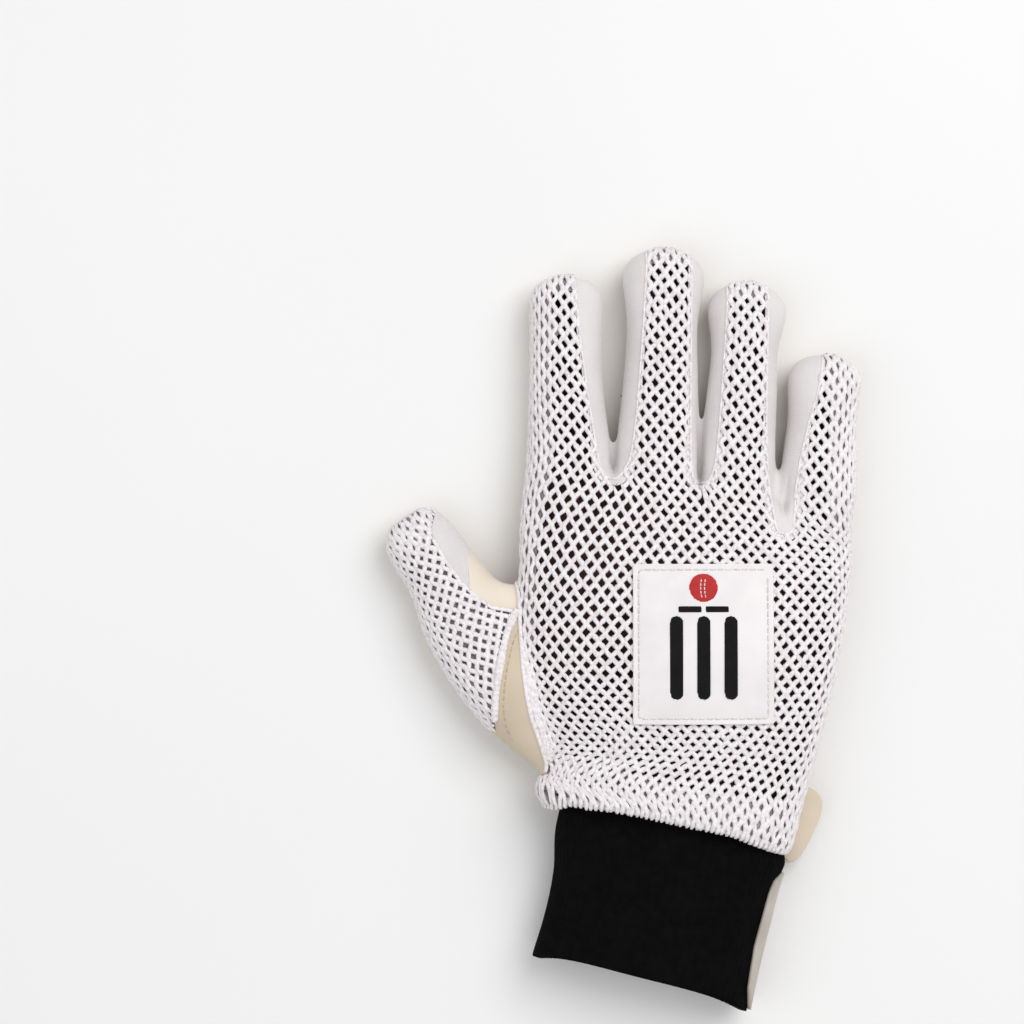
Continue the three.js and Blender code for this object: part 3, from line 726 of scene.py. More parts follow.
def material(name, light, dark, roughness, patch_mm, grains, sheen=0.0, weave=None, shine=0.3):
    """A cloth or leather: two near colours in soft patches, with fine relief.
    grains: (size in mm, height in mm, stretch along x, y, z). weave: (pitch in mm, height in mm)."""
    made = bpy.data.materials.new(name)
    made.use_nodes = True
    nodes, links = made.node_tree.nodes, made.node_tree.links
    shader = nodes["Principled BSDF"]
    shader.inputs["Sheen Weight"].default_value = sheen
    shader.inputs["Sheen Roughness"].default_value = 0.5
    shader.inputs["Specular IOR Level"].default_value = shine
    place = nodes.new("ShaderNodeTexCoord").outputs["Object"]

    def noise(size, stretch=(1, 1, 1), detail=3):
        mapping = nodes.new("ShaderNodeMapping")
        mapping.inputs["Scale"].default_value = [s / (size * MM) for s in stretch]
        texture = nodes.new("ShaderNodeTexNoise")
        texture.inputs["Scale"].default_value = 1
        texture.inputs["Detail"].default_value = detail
        links.new(place, mapping.inputs["Vector"])
        links.new(mapping.outputs["Vector"], texture.inputs["Vector"])
        return texture.outputs["Fac"]

    def ranged(value, low, high, to_low, to_high):
        node = nodes.new("ShaderNodeMapRange")
        limits = {"From Min": low, "From Max": high, "To Min": to_low, "To Max": to_high}
        for key, number in limits.items():
            node.inputs[key].default_value = number
        links.new(value, node.inputs["Value"])
        return node.outputs["Result"]

    mix = nodes.new("ShaderNodeMix")
    mix.data_type = "RGBA"
    mix.inputs["A"].default_value = linear(dark)
    mix.inputs["B"].default_value = linear(light)
    links.new(ranged(noise(patch_mm), 0.3, 0.62, 0, 1), mix.inputs["Factor"])
    links.new(mix.outputs["Result"], shader.inputs["Base Color"])
    low, high = roughness - ROUGHNESS_RANGE, roughness + ROUGHNESS_RANGE
    links.new(ranged(noise(patch_mm / 3), 0.3, 0.7, low, high), shader.inputs["Roughness"])
    relief = None

    def bump(value, height):
        nonlocal relief
        node = nodes.new("ShaderNodeBump")
        node.inputs["Distance"].default_value = height * MM
        links.new(value, node.inputs["Height"])
        if relief:
            links.new(relief, node.inputs["Normal"])
        relief = node.outputs["Normal"]

    for size, height, stretch in grains:
        bump(noise(size, stretch, 4), height)
    if weave:
        pitch, height = weave
        for direction in ("X", "Y"):
            wave = nodes.new("ShaderNodeTexWave")
            wave.bands_direction = direction
            wave.inputs["Scale"].default_value = 2 * math.pi / (20 * pitch * MM)
            wave.inputs["Distortion"].default_value = 1.2
            wave.inputs["Detail Scale"].default_value = 2
            links.new(place, wave.inputs["Vector"])
            bump(wave.outputs["Fac"], height)
    if relief:
        links.new(relief, shader.inputs["Normal"])
    return made


def pale_past(finish, colour, along_hand, above_floor):
    """Paints light onto a leather: it turns paler over a range along the hand and one above the floor, in
    mm.
    """
    nodes, links = finish.node_tree.nodes, finish.node_tree.links
    base = nodes["Principled BSDF"].inputs["Base Color"]
    place = nodes.new("ShaderNodeSeparateXYZ")
    links.new(nodes.new("ShaderNodeTexCoord").outputs["Object"], place.inputs["Vector"])
    both = nodes.new("ShaderNodeMath")
    both.operation = "MULTIPLY"
    for slot, (axis, limits) in enumerate([("Y", along_hand), ("Z", above_floor)]):
        share = nodes.new("ShaderNodeMapRange")
        share.interpolation_type = "SMOOTHSTEP"
        share.inputs["From Min"].default_value = limits[0] * MM
        share.inputs["From Max"].default_value = limits[1] * MM
        links.new(place.outputs[axis], share.inputs["Value"])
        links.new(share.outputs["Result"], both.inputs[slot])
    mix = nodes.new("ShaderNodeMix")
    mix.data_type = "RGBA"
    colour_slots = [slot for slot in mix.inputs if slot.type == "RGBA"]
    colour_slots[1].default_value = linear(colour)
    links.new(both.outputs["Value"], mix.inputs["Factor"])
    links.new(base.links[0].from_socket, colour_slots[0])
    links.new([slot for slot in mix.outputs if slot.type == "RGBA"][0], base)


# Grains: size and height in mm, and stretch along each axis
ROUND = (1, 1, 1)
CREAM_GRAIN = [(0.5, 0.05, ROUND), (2.5, 0.08, ROUND)]
SHADE_INSIDE_GRAIN = [(0.6, 0.1, ROUND)]
COTTON_GRAIN = [(0.25, 0.16, (1, 0.6, 1)), (0.8, 0.25, (1, 0.7, 1))]
CLOTH_GRAIN = [(0.4, 0.2, ROUND)]
JERSEY_GRAIN = [(0.4, 0.05, ROUND)]
JERSEY_WEAVE = (0.55, 0.05)
PANEL_GRAIN = [(0.7, 0.04, ROUND)]
THREAD_GRAIN = [(0.25, 0.06, ROUND)]
ELASTIC_GRAIN = [(0.35, 0.09, (1.6, 0.5, 1)), (1.6, 0.05, ROUND)]
FACING_GRAIN = [(0.5, 0.06, ROUND)]
PRINT_GRAIN = [(0.4, 0.03, ROUND)]
DULL = 0.12

cream = material("cream_leather", (219, 205, 183), (207, 191, 169), 0.7, 30, CREAM_GRAIN, 0.25)
# Painted light: a paler copy of the palm leather for the corner flap, offsetting the shade it lies in
lit_cream = material("corner_leather_painted_light", (226, 212, 190), (216, 202, 179), 0.7, 20, CREAM_GRAIN, 0.25)
# Painted shade and light: a darker copy of the cream leather for the thumb's shaded base, turned paler as
# painted light towards the web, which faces the light
thumb_cream_shade_and_light = material("thumb_leather", (213, 198, 176), (201, 185, 162), 0.7, 30, CREAM_GRAIN, 0.25)
pale_past(thumb_cream_shade_and_light, (238, 227, 211), (2, 16), (5, 12))
# Painted shade: a dark brown on the inner faces of the leather, standing in for the shade inside the
# glove seen through the net's eyelets
shade_inside = material("leather_inside_painted_shade", (92, 64, 60), (62, 42, 40), 0.9, 6, SHADE_INSIDE_GRAIN)
cotton = material("cotton_yarn", (253, 249, 251), (228, 221, 224), 0.9, 1.3, COTTON_GRAIN, 0.35)
# Painted shade: grey cotton for the gaps of the shut net, darker than the yarn because the cotton there
# lies in shade
shaded_ground_cotton = material("cotton_ground_painted_shade", (172, 161, 164), (132, 120, 123), 0.95, 3, CLOTH_GRAIN, 0.2)
# Painted shade: a grey-mauve for the sheet under the thumb's net, standing in for the shaded inside seen
# through its eyelets
thumb_shade_cloth = material("thumb_painted_shade", (186, 172, 174), (138, 122, 125), 0.95, 2, CLOTH_GRAIN, 0.1)
jersey_looks = (0.85, 18, JERSEY_GRAIN, 0.3, JERSEY_WEAVE)
jersey = material("white_jersey", (232, 228, 228), (224, 219, 219), *jersey_looks)
panel_white = material("white_leatherette", (242, 238, 239), (234, 230, 231), 0.42, 14, PANEL_GRAIN)
thread = material("white_thread", (238, 234, 232), (214, 208, 204), 0.8, 2, THREAD_GRAIN, 0.2)
cream_thread = material("cream_thread", (206, 190, 160), (186, 168, 138), 0.8, 2, THREAD_GRAIN, 0.2)
elastic = material("black_elastic", (5, 5, 5), (2, 2, 2), 0.92, 9, ELASTIC_GRAIN, shine=DULL)
facing = material("cuff_leather", (196, 188, 178), (176, 168, 158), 0.7, 12, FACING_GRAIN, 0.2)
ink_black = material("black_print", (20, 18, 20), (13, 12, 13), 0.6, 8, PRINT_GRAIN, shine=DULL)
ink_red = material("red_print", (190, 26, 24), (172, 18, 18), 0.45, 8, PRINT_GRAIN)

# The height over the floor of the glove's lowest points
LOWEST = 0.1


def add(name, mesh, finish, node, thickness=0.0, inner=None):
    """A piece of the glove in the scene. thickness: how far the sheet is thickened inwards, in mm."""
    points, faces = mesh
    points = np.array(points, float)
    points[:, 2] = np.maximum(points[:, 2], LOWEST)
    data = bpy.data.meshes.new(name)
    data.from_pydata((points * MM).tolist(), [], np.asarray(faces).tolist())
    data.shade_smooth()
    data.materials.append(finish)
    piece = bpy.data.objects.new(name, data)
    bpy.context.scene.collection.objects.link(piece)
    if thickness:
        if inner:
            data.materials.append(inner)
        solidify = piece.modifiers.new("thickness", "SOLIDIFY")
        solidify.thickness = thickness * MM
        solidify.offset = -1
        solidify.material_offset = 1 if inner else 0
    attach(piece, "root")
    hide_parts(node)
    return piece


def seam(path, radius, lift=0.0):
    """A welt along a path on the skin."""
    places, normals = on_skin(spaced(path, 1.2))
    return tube(places + normals * lift, normals, radius, radius)


def stitches(path, normals, pitch, length, radius):
    """Thread stitches, sunk at their ends, along a path with even places."""
    made = []
    path = np.asarray(path, float)
    run = walked(path)
    for start in np.arange(pitch / 2, run[-1] - length, pitch):
        at = start + np.linspace(0, 1, 5) * length
        points, up = laid(run, path, at), laid(run, normals, at)
        arch = np.sin(np.linspace(0, math.pi, 5))[:, None] - 0.5
        made.append(tube(points + up * radius * arch, up, radius, radius))
    return joined(made)


# Stitches: pitch, length and radius of the thread
PATCH_STITCH = (2.6, 1.7, 0.28)
BASE_STITCH = (2.4, 1.6, 0.24)
BADGE_STITCH = (2.7, 2.0, 0.26)
BALL_STITCH = (1.3, 0.85, 0.2)

# Palm leather
CREASE_DEPTH = 0.9
CREASE_HALF_WIDTH = 0.9
CREASE_BOW = 0.012
# Each joint has three creases: how far each lies from the joint, and its share of the depth
CREASE_ROWS = ((0, 1.0), (2.8, 0.5), (-3.1, 0.4))
# Where the joints lie along the fingers
CREASES = {
    "index": (0.02, 0.34, 0.62),
    "middle": (0.0, 0.34, 0.64),
    "ring": (0.0, 0.33, 0.62),
    "little": (0.02, 0.4, 0.66),
}


def palm_creases(points, normals):
    """Sinks the creases of the finger joints and the soft puckers of the palm into the leather."""
    depth = np.zeros(len(points))
    for name, places in CREASES.items():
        length = FINGERS[name][2] * FINGER_LENGTH
        for at in places:
            x, y = finger_at(name, at)
            bow = y + CREASE_BOW * (points[:, 0] - x) ** 2
            near = 1 - step(FINGER_WIDTH * 0.4, FINGER_WIDTH * 0.62, np.abs(points[:, 0] - x))
            for shift, share in CREASE_ROWS:
                off = (points[:, 1] - bow - shift) / CREASE_HALF_WIDTH
                depth += share * near * np.exp(-(off**2))
    below = step(0.2, 0.8, -normals[:, 2]) + 0.35 * step(-0.2, 0.5, -normals[:, 2])
    wander = 0.5 * np.sin(points[:, 0] * 0.31 + 2 * np.sin(points[:, 1] * 0.11))
    swell = 0.25 * wander * np.sin(points[:, 1] * 0.17) * step(0.2, 0.8, -normals[:, 2])
    return points - normals * (CREASE_DEPTH * depth * np.clip(below, 0, 1) + swell)[:, None]


glove_skin = kept(skin, past_wrist)
hand_skin = kept(glove_skin, lambda p: -on_thumb(p))
thumb_skin = kept(glove_skin, on_thumb)
leather = kept(hand_skin, lambda p: -above_seam(p))
leather_paths = border_paths(leather)
leather = (palm_creases(leather[0], normals_of(*leather)), leather[1])
# The palm leather's inner faces carry the painted shade of the glove's inside
add("palm_leather_skin", leather, cream, "palm_leather", WALL, shade_inside)

WELT_RADIUS = 0.5
WELT_SUNK = 0.35
welts = [seam(path, WELT_RADIUS, -WELT_SUNK) for path in leather_paths if len(path) > 12]
add("palm_seam", joined(welts), cream, "palm_leather")

# The leather's outer lower corner, which stands out past the knitted back
CORNER_LOW = 6.0
CORNER_THICKNESS = 1.8
CORNER_WAVE = 0.5
CORNER_WAVE_LENGTH = 5
corner_outline = rounded([(x * PALM_WIDTH, y * HAND_LENGTH) for x, y in LEATHER_CORNER], 2)


def flat_sheet(low, high, pitch):
    """A flat grid of points over a rectangle of the plan, as triangles."""
    xs, ys = np.arange(low[0], high[0], pitch), np.arange(low[1], high[1], pitch)
    x, y = np.meshgrid(xs, ys)
    points = np.stack([x.ravel(), y.ravel(), np.zeros(x.size)], axis=-1)
    return points, triangles_of(grid_faces(len(ys), len(xs), False))


corner = flat_sheet(corner_outline.min(axis=0) - 1, corner_outline.max(axis=0) + 1, 0.8)
corner = kept(corner, lambda p: outline_distance(corner_outline, p[:, :2]))
corner_x = corner[0][:, 0]
corner_wave = CORNER_WAVE * np.sin((corner_x - corner_x.min()) / CORNER_WAVE_LENGTH)
corner[0][:, 2] = CORNER_LOW + CORNER_THICKNESS + corner_wave
# The corner's paler leather is painted light
add("palm_corner", corner, lit_cream, "palm_leather", CORNER_THICKNESS)

# Palm patch, sewn under the palm
PATCH_THICKNESS = 1.2
PATCH_TOP = 3.0
PATCH_LOW = 0.5
PATCH_EDGE_RISE = 0.8
THREAD_SUNK = 0.05
patch = kept(hand_skin, lambda p: outline_distance(patch_outline, p[:, :2]))
patch = kept(patch, lambda p: PATCH_TOP - p[:, 2])
patch_normals = normals_of(*patch)
patch = (patch[0] + patch_normals * PATCH_THICKNESS, patch[1])
patch = (palm_creases(patch[0], patch_normals), patch[1])
patch = (np.column_stack([patch[0][:, :2], np.maximum(patch[0][:, 2], PATCH_LOW)]), patch[1])
add("palm_patch_skin", patch, cream, "palm_patch", PATCH_THICKNESS)


def under_palm(xy):
    """Places just under the palm patch, with their normals."""
    points = []
    for x, y in xy:
        hit = skin_tree.ray_cast(Vector((x, y, -FAR)), Vector((0, 0, 1)))[0]
        points.append(list(hit) if hit else [x, y, 2])
    places, normals = on_skin(np.array(points, float))
    on_patch = places[:, 2] < PATCH_TOP - PATCH_EDGE_RISE
    places = places + normals * (PATCH_THICKNESS + THREAD_SUNK)
    places[:, 2] = np.maximum(places[:, 2], PATCH_LOW - THREAD_SUNK)
    return places, normals, on_patch


# Two rows of stitches along the patch's edge, the second one on the thumb's side only
PATCH_INSETS = (1.6, 4.2)
PATCH_END_X = 47.0
SECOND_ROW_X = -20.0
patch_stitches = []
sheet = flat_sheet((-60, -70), (75, 60), 1.5)
for inset in PATCH_INSETS:
    line = kept(sheet, lambda p: outline_distance(patch_outline, p[:, :2]) - inset)
    loop = spaced(border_paths(line)[0][:, :2], 1.0)
    curved = loop[loop[:, 0] < SECOND_ROW_X] if inset == PATCH_INSETS[1] else loop
    places, normals, on_patch = under_palm(curved)
    on_patch &= (normals[:, 2] < -0.6) & (places[:, 0] < PATCH_END_X)
    gaps = np.flatnonzero(np.linalg.norm(np.diff(places, axis=0), axis=1) > 4) + 1
    runs = (np.split(row, gaps) for row in (places, normals, on_patch))
    for run, up, flat in zip(*runs):
        if flat.sum() > 8:
            patch_stitches.append(stitches(run[flat], up[flat], *PATCH_STITCH))
add("patch_stitches", joined(patch_stitches), cream_thread, "palm_patch")

# Fourchettes between the fingers
SEAM_RADIUS = 0.45
for (name, _, _), opening in zip(CROTCHES, openings):
    strip = kept(hand_skin, lambda p: np.minimum(above_seam(p), outline_distance(opening, p[:, :2])))
    add(f"fourchette_{name}_cloth", strip, jersey, f"fourchette_{name}", WALL)


def on_the_glove(xy):
    """Whether points of the plan lie over the glove."""
    down = Vector((0, 0, -1))
    return np.array([skin_tree.ray_cast(Vector((x, y, FAR)), down)[0] is not None for x, y in xy])


net_seams = []
for outline in openings:
    loop = spaced(np.vstack([outline, outline[:1]]), 1.0)
    seen = on_the_glove(loop)
    places, normals = from_above(loop)
    flat = seen & (above_seam(places) > 1) & (normals[:, 2] > 0.15)
    for run in runs_of(flat):
        net_seams.append(tube(places[run], normals[run], SEAM_RADIUS, SEAM_RADIUS))

# Knitted back: yarns that sway and touch their neighbours, with an eyelet between two touches
YARN_PITCH = 2.15
YARN_PERIOD = 5.4
YARN_STEPS = 8
YARN_SWAY = 0.8
SWAY_CROWDED = 1.3
SWAY_LIMITS = (0.8, 1.12)
YARN_HALF_WIDTH = 0.9
YARN_WANDER = 0.16
# How much the sway's rhythm changes, and for how many steps sway and wander keep their trend
SWING_WAVER = 0.3
SWING_HOLD = 16
WANDER_HOLD = 12
YARN_HALF_HEIGHT = 0.52
YARN_UNEVEN = 0.09
YARN_LIFT = 0.1
YARN_OVER = 0.14
# Yarns are thinner on the thumb's side, thicker where the net is shut, and thinner where they crowd
YARN_THIN_X = [-22, 12]
YARN_THIN = [0.91, 1]
SHUT_WIDER = 0.1
SHUT_TALLER = 0.12
CROWDED = 1.15
CROWDED_LEAST = 0.85
HAND_HALF_ARC = 68.0
CHART_END = 0.94 * HAND_LENGTH
BLEND_FROM, BLEND_TO = -12.0, 5.0
HEM_CURL_RADIUS = 2.2
HEM_CURL = 3.6
BADGE_CENTRE = np.array([0.09 * PALM_WIDTH, -0.005 * HAND_LENGTH])
BADGE_SIZE = np.array([47.6, 54.0])


def arcs(row, low):
    """A section's arc lengths from its top, its points, and the arcs where it falls to a height."""
    angles = np.linspace(-0.78 * math.pi, 0.78 * math.pi, 241)
    points = section(row, angles)
    run = walked(points)
    run -= run[len(angles) // 2]
    above = np.flatnonzero(points[:, 2] >= low)
    return run, points, run[above[0]], run[above[-1]]


def laid_columns(sections, placed):
    """The points of a net's columns, each laid over every section."""
    points = [laid(*found[:2], placed[:, k]) for k, found in enumerate(sections)]
    return np.array(points).transpose(1, 0, 2)


hand_knots, hand_table = hand_rows()
step_length = YARN_PERIOD / YARN_STEPS
along = np.arange(-HEM_CURL, HAND_LENGTH + FINGER_LENGTH + 6, step_length)
columns = np.arange(-HAND_HALF_ARC, HAND_HALF_ARC, YARN_PITCH)
phase = 2 * math.pi * along / YARN_PERIOD
odd = (np.arange(len(columns)) % 2)[:, None]


def wavering(rows, steps, hold):
    """Random values for each row that change slowly along it, with a new one each `hold` steps."""
    knots = random.normal(0, 1, (rows, steps // hold + 3))
    return np.array([np.interp(np.arange(steps) / hold, np.arange(row.size), row) for row in knots])


grid = (len(columns), len(along))
swing = np.sin(phase[None] + math.pi * odd + SWING_WAVER * wavering(*grid, SWING_HOLD))

# Where each column lies on the hand, before its sway
chart_at = np.clip(along, 0, CHART_END)
sections_of_hand = [arcs(row, HAND_SEAM) for row in smooth(hand_knots, hand_table, chart_at)]
left_arc = np.array([s[2] for s in sections_of_hand])
right_arc = np.array([s[3] for s in sections_of_hand])
half_arc = (right_arc - left_arc) / 2
middle_arc = (right_arc + left_arc) / 2
share = columns[:, None] / HAND_HALF_ARC
still = middle_arc[None] + share * half_arc[None]
from_side = half_arc[None] * (1 - np.abs(share))

knuckle = np.argmin(np.abs(along - CHART_END))
knuckle_points = laid(*sections_of_hand[knuckle][:2], still[:, knuckle])
roots = np.array([finger_at(name, 0)[0] for name in FINGERS])
between = np.array([at * PALM_WIDTH for _, at, _ in CROTCHES])
owner = np.searchsorted(between, knuckle_points[:, 0])
root_arc = np.interp(roots, knuckle_points[:, 0], still[:, knuckle])
offsets = still[:, knuckle] - root_arc[owner]

# How open the net is: shut at the side seams and the hem, and down a gather on the thumb's side
GATHER_X = -19.0
GATHER_HALF_WIDTH = 4.5
GATHER_SHUT = 0.85
GATHER_Y = -45
GATHER_SLANT = 0.3
GATHER_START_Y = (-64, -54)
GATHER_END_Y = (-40, -20)
SIDE_SHUT = (12, 20)
HEM_SHUT_X = [-40, -10, 15, 40]
HEM_SHUT = [14, 8, 5, 8]
HEM_OPENING = 10
still_points = laid_columns(sections_of_hand, still)
still_x, still_y = still_points[..., 0], still_points[..., 1] + np.maximum(along - CHART_END, 0)
hem_shut = np.interp(still_x, HEM_SHUT_X, HEM_SHUT)
openness = step(*SIDE_SHUT, from_side) * step(hem_shut, hem_shut + HEM_OPENING, along[None])
from_gather = still_x - GATHER_X - GATHER_SLANT * (still_y - GATHER_Y)
gather = np.exp(-((from_gather / GATHER_HALF_WIDTH) ** 2))
gather *= step(*GATHER_START_Y, still_y) * (1 - step(*GATHER_END_Y, still_y))
openness = openness * (1 - GATHER_SHUT * gather)

# The net on the fingers: shut past these offsets from a finger's centre, and closer at its last joint
FINGER_NET_SHUT = {"index": (-8.5, 30), "middle": (-30, 30), "ring": (-30, 30), "little": (-30, 3.5)}
for f, name in enumerate(FINGERS):
    mine = owner == f
    left, right = FINGER_NET_SHUT[name]
    length = FINGERS[name][2] * FINGER_LENGTH
    past = still_y[mine] - HAND_END_Y
    on_finger = step(-6, 8, past)
    offset = offsets[mine, None]
    shut = np.maximum(1 - step(left - 2, left + 2, offset), step(right - 3, right + 2, offset))
    pinched = 0.4 * np.exp(-(((past - 0.72 * length) / 5) ** 2)) + 0.25 * step(0.5 * length, length, past)
    pinched = np.maximum(pinched, step(length - 8, length - 3.5, past))
    openness[mine] *= 1 - on_finger * np.maximum(shut, pinched)

crowding = (half_arc / HAND_HALF_ARC)[None]
spread = YARN_SWAY * (0.55 + 0.45 * openness)
wander = YARN_WANDER * wavering(*grid, WANDER_HOLD)
placed = still + wander + swing * spread * np.clip(SWAY_CROWDED * crowding, *SWAY_LIMITS)
net_points = laid_columns(sections_of_hand, placed)
net_points[..., 1] += np.maximum(along - CHART_END, 0)
for f, name in enumerate(FINGERS):
    knots, table = finger_rows(name)
    length = FINGERS[name][2] * FINGER_LENGTH
    dense_at = np.linspace(knots[0], length - 0.3, 220)
    dense = [arcs(row, FINGER_SEAM)[:2] for row in smooth(knots, table, dense_at)]
    for column in np.flatnonzero(owner == f):
        y = net_points[column, :, 1]
        weight = step(BLEND_FROM, BLEND_TO, y - (HAND_END_Y - roots[f] * math.tan(HAND_TURN)))
        for k in np.flatnonzero(weight > 0):
            place = min(np.searchsorted(dense_at, y[k] - HAND_END_Y), len(dense) - 1)
            run, points = dense[place]
            at = offsets[column] + wander[column, k] + swing[column, k] * spread[column, k]
            on_finger = laid(run, points, at)
            on_finger[1] = y[k]
            net_points[column, k] += weight[k] * (on_finger - net_points[column, k])


# The hem is drawn up from the wrist, least at its outer end
HEM_LIFT_X = [-42, -10, 20, 40]
HEM_LIFT = [6.5, 8.1, 8.1, 4.6]
net_points[..., 1] += np.interp(still_x, HEM_LIFT_X, HEM_LIFT) * (1 - step(0, 60, along))[None]

# The yarns end at the seams, a little way under the badge, and where the skin turns to the thumb
BY_THUMB = (-40.0, 35.0)
UNDER_BADGE = 3
LARGEST_MOVE = 9
flat_points = net_points.reshape(-1, 3)
places, normals = on_skin(flat_points)
moved = np.linalg.norm(places - flat_points, axis=1)
near_thumb = (flat_points[:, 0] < BY_THUMB[0]) & (flat_points[:, 1] < BY_THUMB[1])
badge_reach = np.max(np.abs(places[:, :2] - BADGE_CENTRE) - BADGE_SIZE / 2, axis=1)
margins = [above_seam(places), -in_opening(places), badge_reach + UNDER_BADGE]
margins.append(np.where(near_thumb, np.minimum(LARGEST_MOVE - moved, -on_thumb(places)), FAR))
valid = (np.min(margins, axis=0) > -0.1).reshape(net_points.shape[:2])
net_places = places.reshape(net_points.shape)
net_normals = normals.reshape(net_points.shape)

# The hem puffs out over the cuff in soft gathers, most on the thumb's side
PUFF_X = [-42, -20, 40]
PUFF = [1.0, 0.7, 0.15]
HEM_CREASE_AT = (-30, -46.5)
HEM_CREASE_SLANT = 0.25
HEM_CREASE_HALF_WIDTH = 2.4
HEM_CREASE_END_X = (-24, -14)
gathers = np.sin(still_x * 0.42 + 1.5 * np.sin(still_y * 0.21)) * 0.5
gathers = gathers + np.sin(still_x * 0.17 + still_y * 0.29 + 1) * 0.5
at_hem = 1 - step(5, 24, along)[None]
thumb_side = np.interp(still_x, PUFF_X, PUFF)
from_crease = still_y - HEM_CREASE_AT[1] - HEM_CREASE_SLANT * (still_x - HEM_CREASE_AT[0])
creased = np.exp(-((from_crease / HEM_CREASE_HALF_WIDTH) ** 2))
creased = creased * (1 - step(*HEM_CREASE_END_X, still_x))
puffed = at_hem * (0.5 + 0.7 * gathers) * thumb_side + 0.9 * gather - 0.8 * creased
over = YARN_OVER * swing * np.where(odd == 0, 1, -1)
net_places = net_places + net_normals * (puffed + over + YARN_LIFT)[..., None]

# The hem's corner at the thumb is drawn inwards
HEM_CORNER_PULL = 0.8
net_places[..., 0] += HEM_CORNER_PULL * at_hem * (1 - step(-44, -34, still_x))

# Past the hem's edge each yarn curls under
curled = np.maximum(-along, 0) / HEM_CURL_RADIUS
hem_start = np.argmin(np.abs(along))
down = net_normals[:, hem_start]
out = np.array([-math.sin(WRIST_TURN), -math.cos(WRIST_TURN), 0])
for k in range(hem_start):
    swung = out * math.sin(curled[k]) - down * (1 - math.cos(curled[k]))
    net_places[:, k] = net_places[:, hem_start] + HEM_CURL_RADIUS * swung
    net_normals[:, k] = down * math.cos(curled[k]) + out * math.sin(curled[k])
    valid[:, k] = valid[:, hem_start]


def uneven(count):
    """Thickness along a yarn: a little uneven, and thinner at its ends."""
    from_end = np.minimum(np.arange(count), np.arange(count)[::-1])
    return np.clip(0.4 + 0.15 * from_end, 0, 1) * (1 + random.normal(0, YARN_UNEVEN, count))


yarns = []
shut_share = 1 - openness
for j in range(len(columns)):
    for run in runs_of(valid[j]):
        wide = YARN_HALF_WIDTH * np.interp(still_x[j, run], YARN_THIN_X, YARN_THIN)
        wide = wide + SHUT_WIDER * shut_share[j, run]
        wide = wide * np.clip(crowding[0, run] * CROWDED, CROWDED_LEAST, 1) * uneven(len(run))
        tall = (YARN_HALF_HEIGHT + SHUT_TALLER * shut_share[j, run]) * uneven(len(run))
        yarns.append(tube(net_places[j, run], net_normals[j, run], wide, tall))
add("mesh_back_yarn", joined(yarns), cotton, "mesh_back")

# Cloth ground close under the yarns, where the net is shut: the fuzzy cotton deep in the gaps, coloured
# grey as painted shade
GROUND_DEPTH = 0.5
GROUND_THICKNESS = 0.6
GROUND_OPENNESS = 0.5
GROUND_NEIGHBOURS = 6


def tree_around(places):
    """A search tree over some places."""
    tree = KDTree(len(places))
    for i, place in enumerate(places):
        tree.insert(place, i)
    tree.balance()
    return tree


def ground(mesh, chart, open_share):
    """The part of a skin that lies under the shut part of a net, sunk under its yarns."""
    tree = tree_around(chart)

    def shut(points):
        near = [[i for _, i, _ in tree.find_n(point, GROUND_NEIGHBOURS)] for point in points]
        return GROUND_OPENNESS - open_share[np.array(near)].mean(axis=1)

    return lifted(kept(mesh, shut), -GROUND_DEPTH)


def past_hem(points):
    """Above zero past the edge of the hem."""
    x, y = points[:, 0], points[:, 1]
    return y - WRIST_Y + x * math.tan(WRIST_TURN) - np.interp(x, HEM_LIFT_X, HEM_LIFT) - 0.5


net_skin = kept(kept(hand_skin, above_seam), lambda p: np.minimum(-in_opening(p), past_hem(p)))
back_shaded_ground = ground(net_skin, places, openness.ravel())
add("mesh_back_shaded_ground", back_shaded_ground, shaded_ground_cotton, "mesh_back", GROUND_THICKNESS)

# The net's folded edge, under the yarns along the fourchettes' seams
TAPE_Y = [60, 72]
TAPE_WIDTH = [2.3, 0.8]
TAPE_DEPTH = 0.25
tape = kept(net_skin, lambda p: in_opening(p) + np.interp(p[:, 1], TAPE_Y, TAPE_WIDTH))
tape = lifted(tape, -TAPE_DEPTH)
add("mesh_back_tape", tape, cotton, "mesh_back", GROUND_THICKNESS)

# Plain cloth on the sides and tips that the yarns don't reach, tucked a little way under them
SIDE_REACH = 2.7
SIDE_OVERLAP = 2.3
SIDE_DEPTH = 0.2


def distances(points, targets):
    """Distance of each point to the nearest of some other points."""
    tree = tree_around(targets)
    return np.array([tree.find(point)[2] for point in points])


def beyond(mesh, chart):
    """The part of a mesh around the points that lie far from every place of a chart."""
    bare = mesh[0][distances(mesh[0], chart) > SIDE_REACH]
    return lifted(kept(mesh, lambda p: SIDE_OVERLAP - distances(p, bare)), -SIDE_DEPTH)


side_cloth = beyond(net_skin, places[valid.ravel()])
add("mesh_back_side", side_cloth, jersey, "mesh_back", GROUND_THICKNESS)

# The soft roll inside the hem's curl
HEM_ROLL_RADIUS = 1.9
rolled = np.flatnonzero(valid[:, hem_start])
roll_normals = net_normals[rolled, hem_start]
roll_path = net_places[rolled, hem_start] - roll_normals * HEM_CURL_RADIUS
hem_roll = tube(relaxed_path(roll_path, 3), roll_normals, HEM_ROLL_RADIUS, HEM_ROLL_RADIUS, 12)
add("mesh_back_hem", hem_roll, cotton, "mesh_back")
add("mesh_back_seams", joined(net_seams), cotton, "mesh_back")

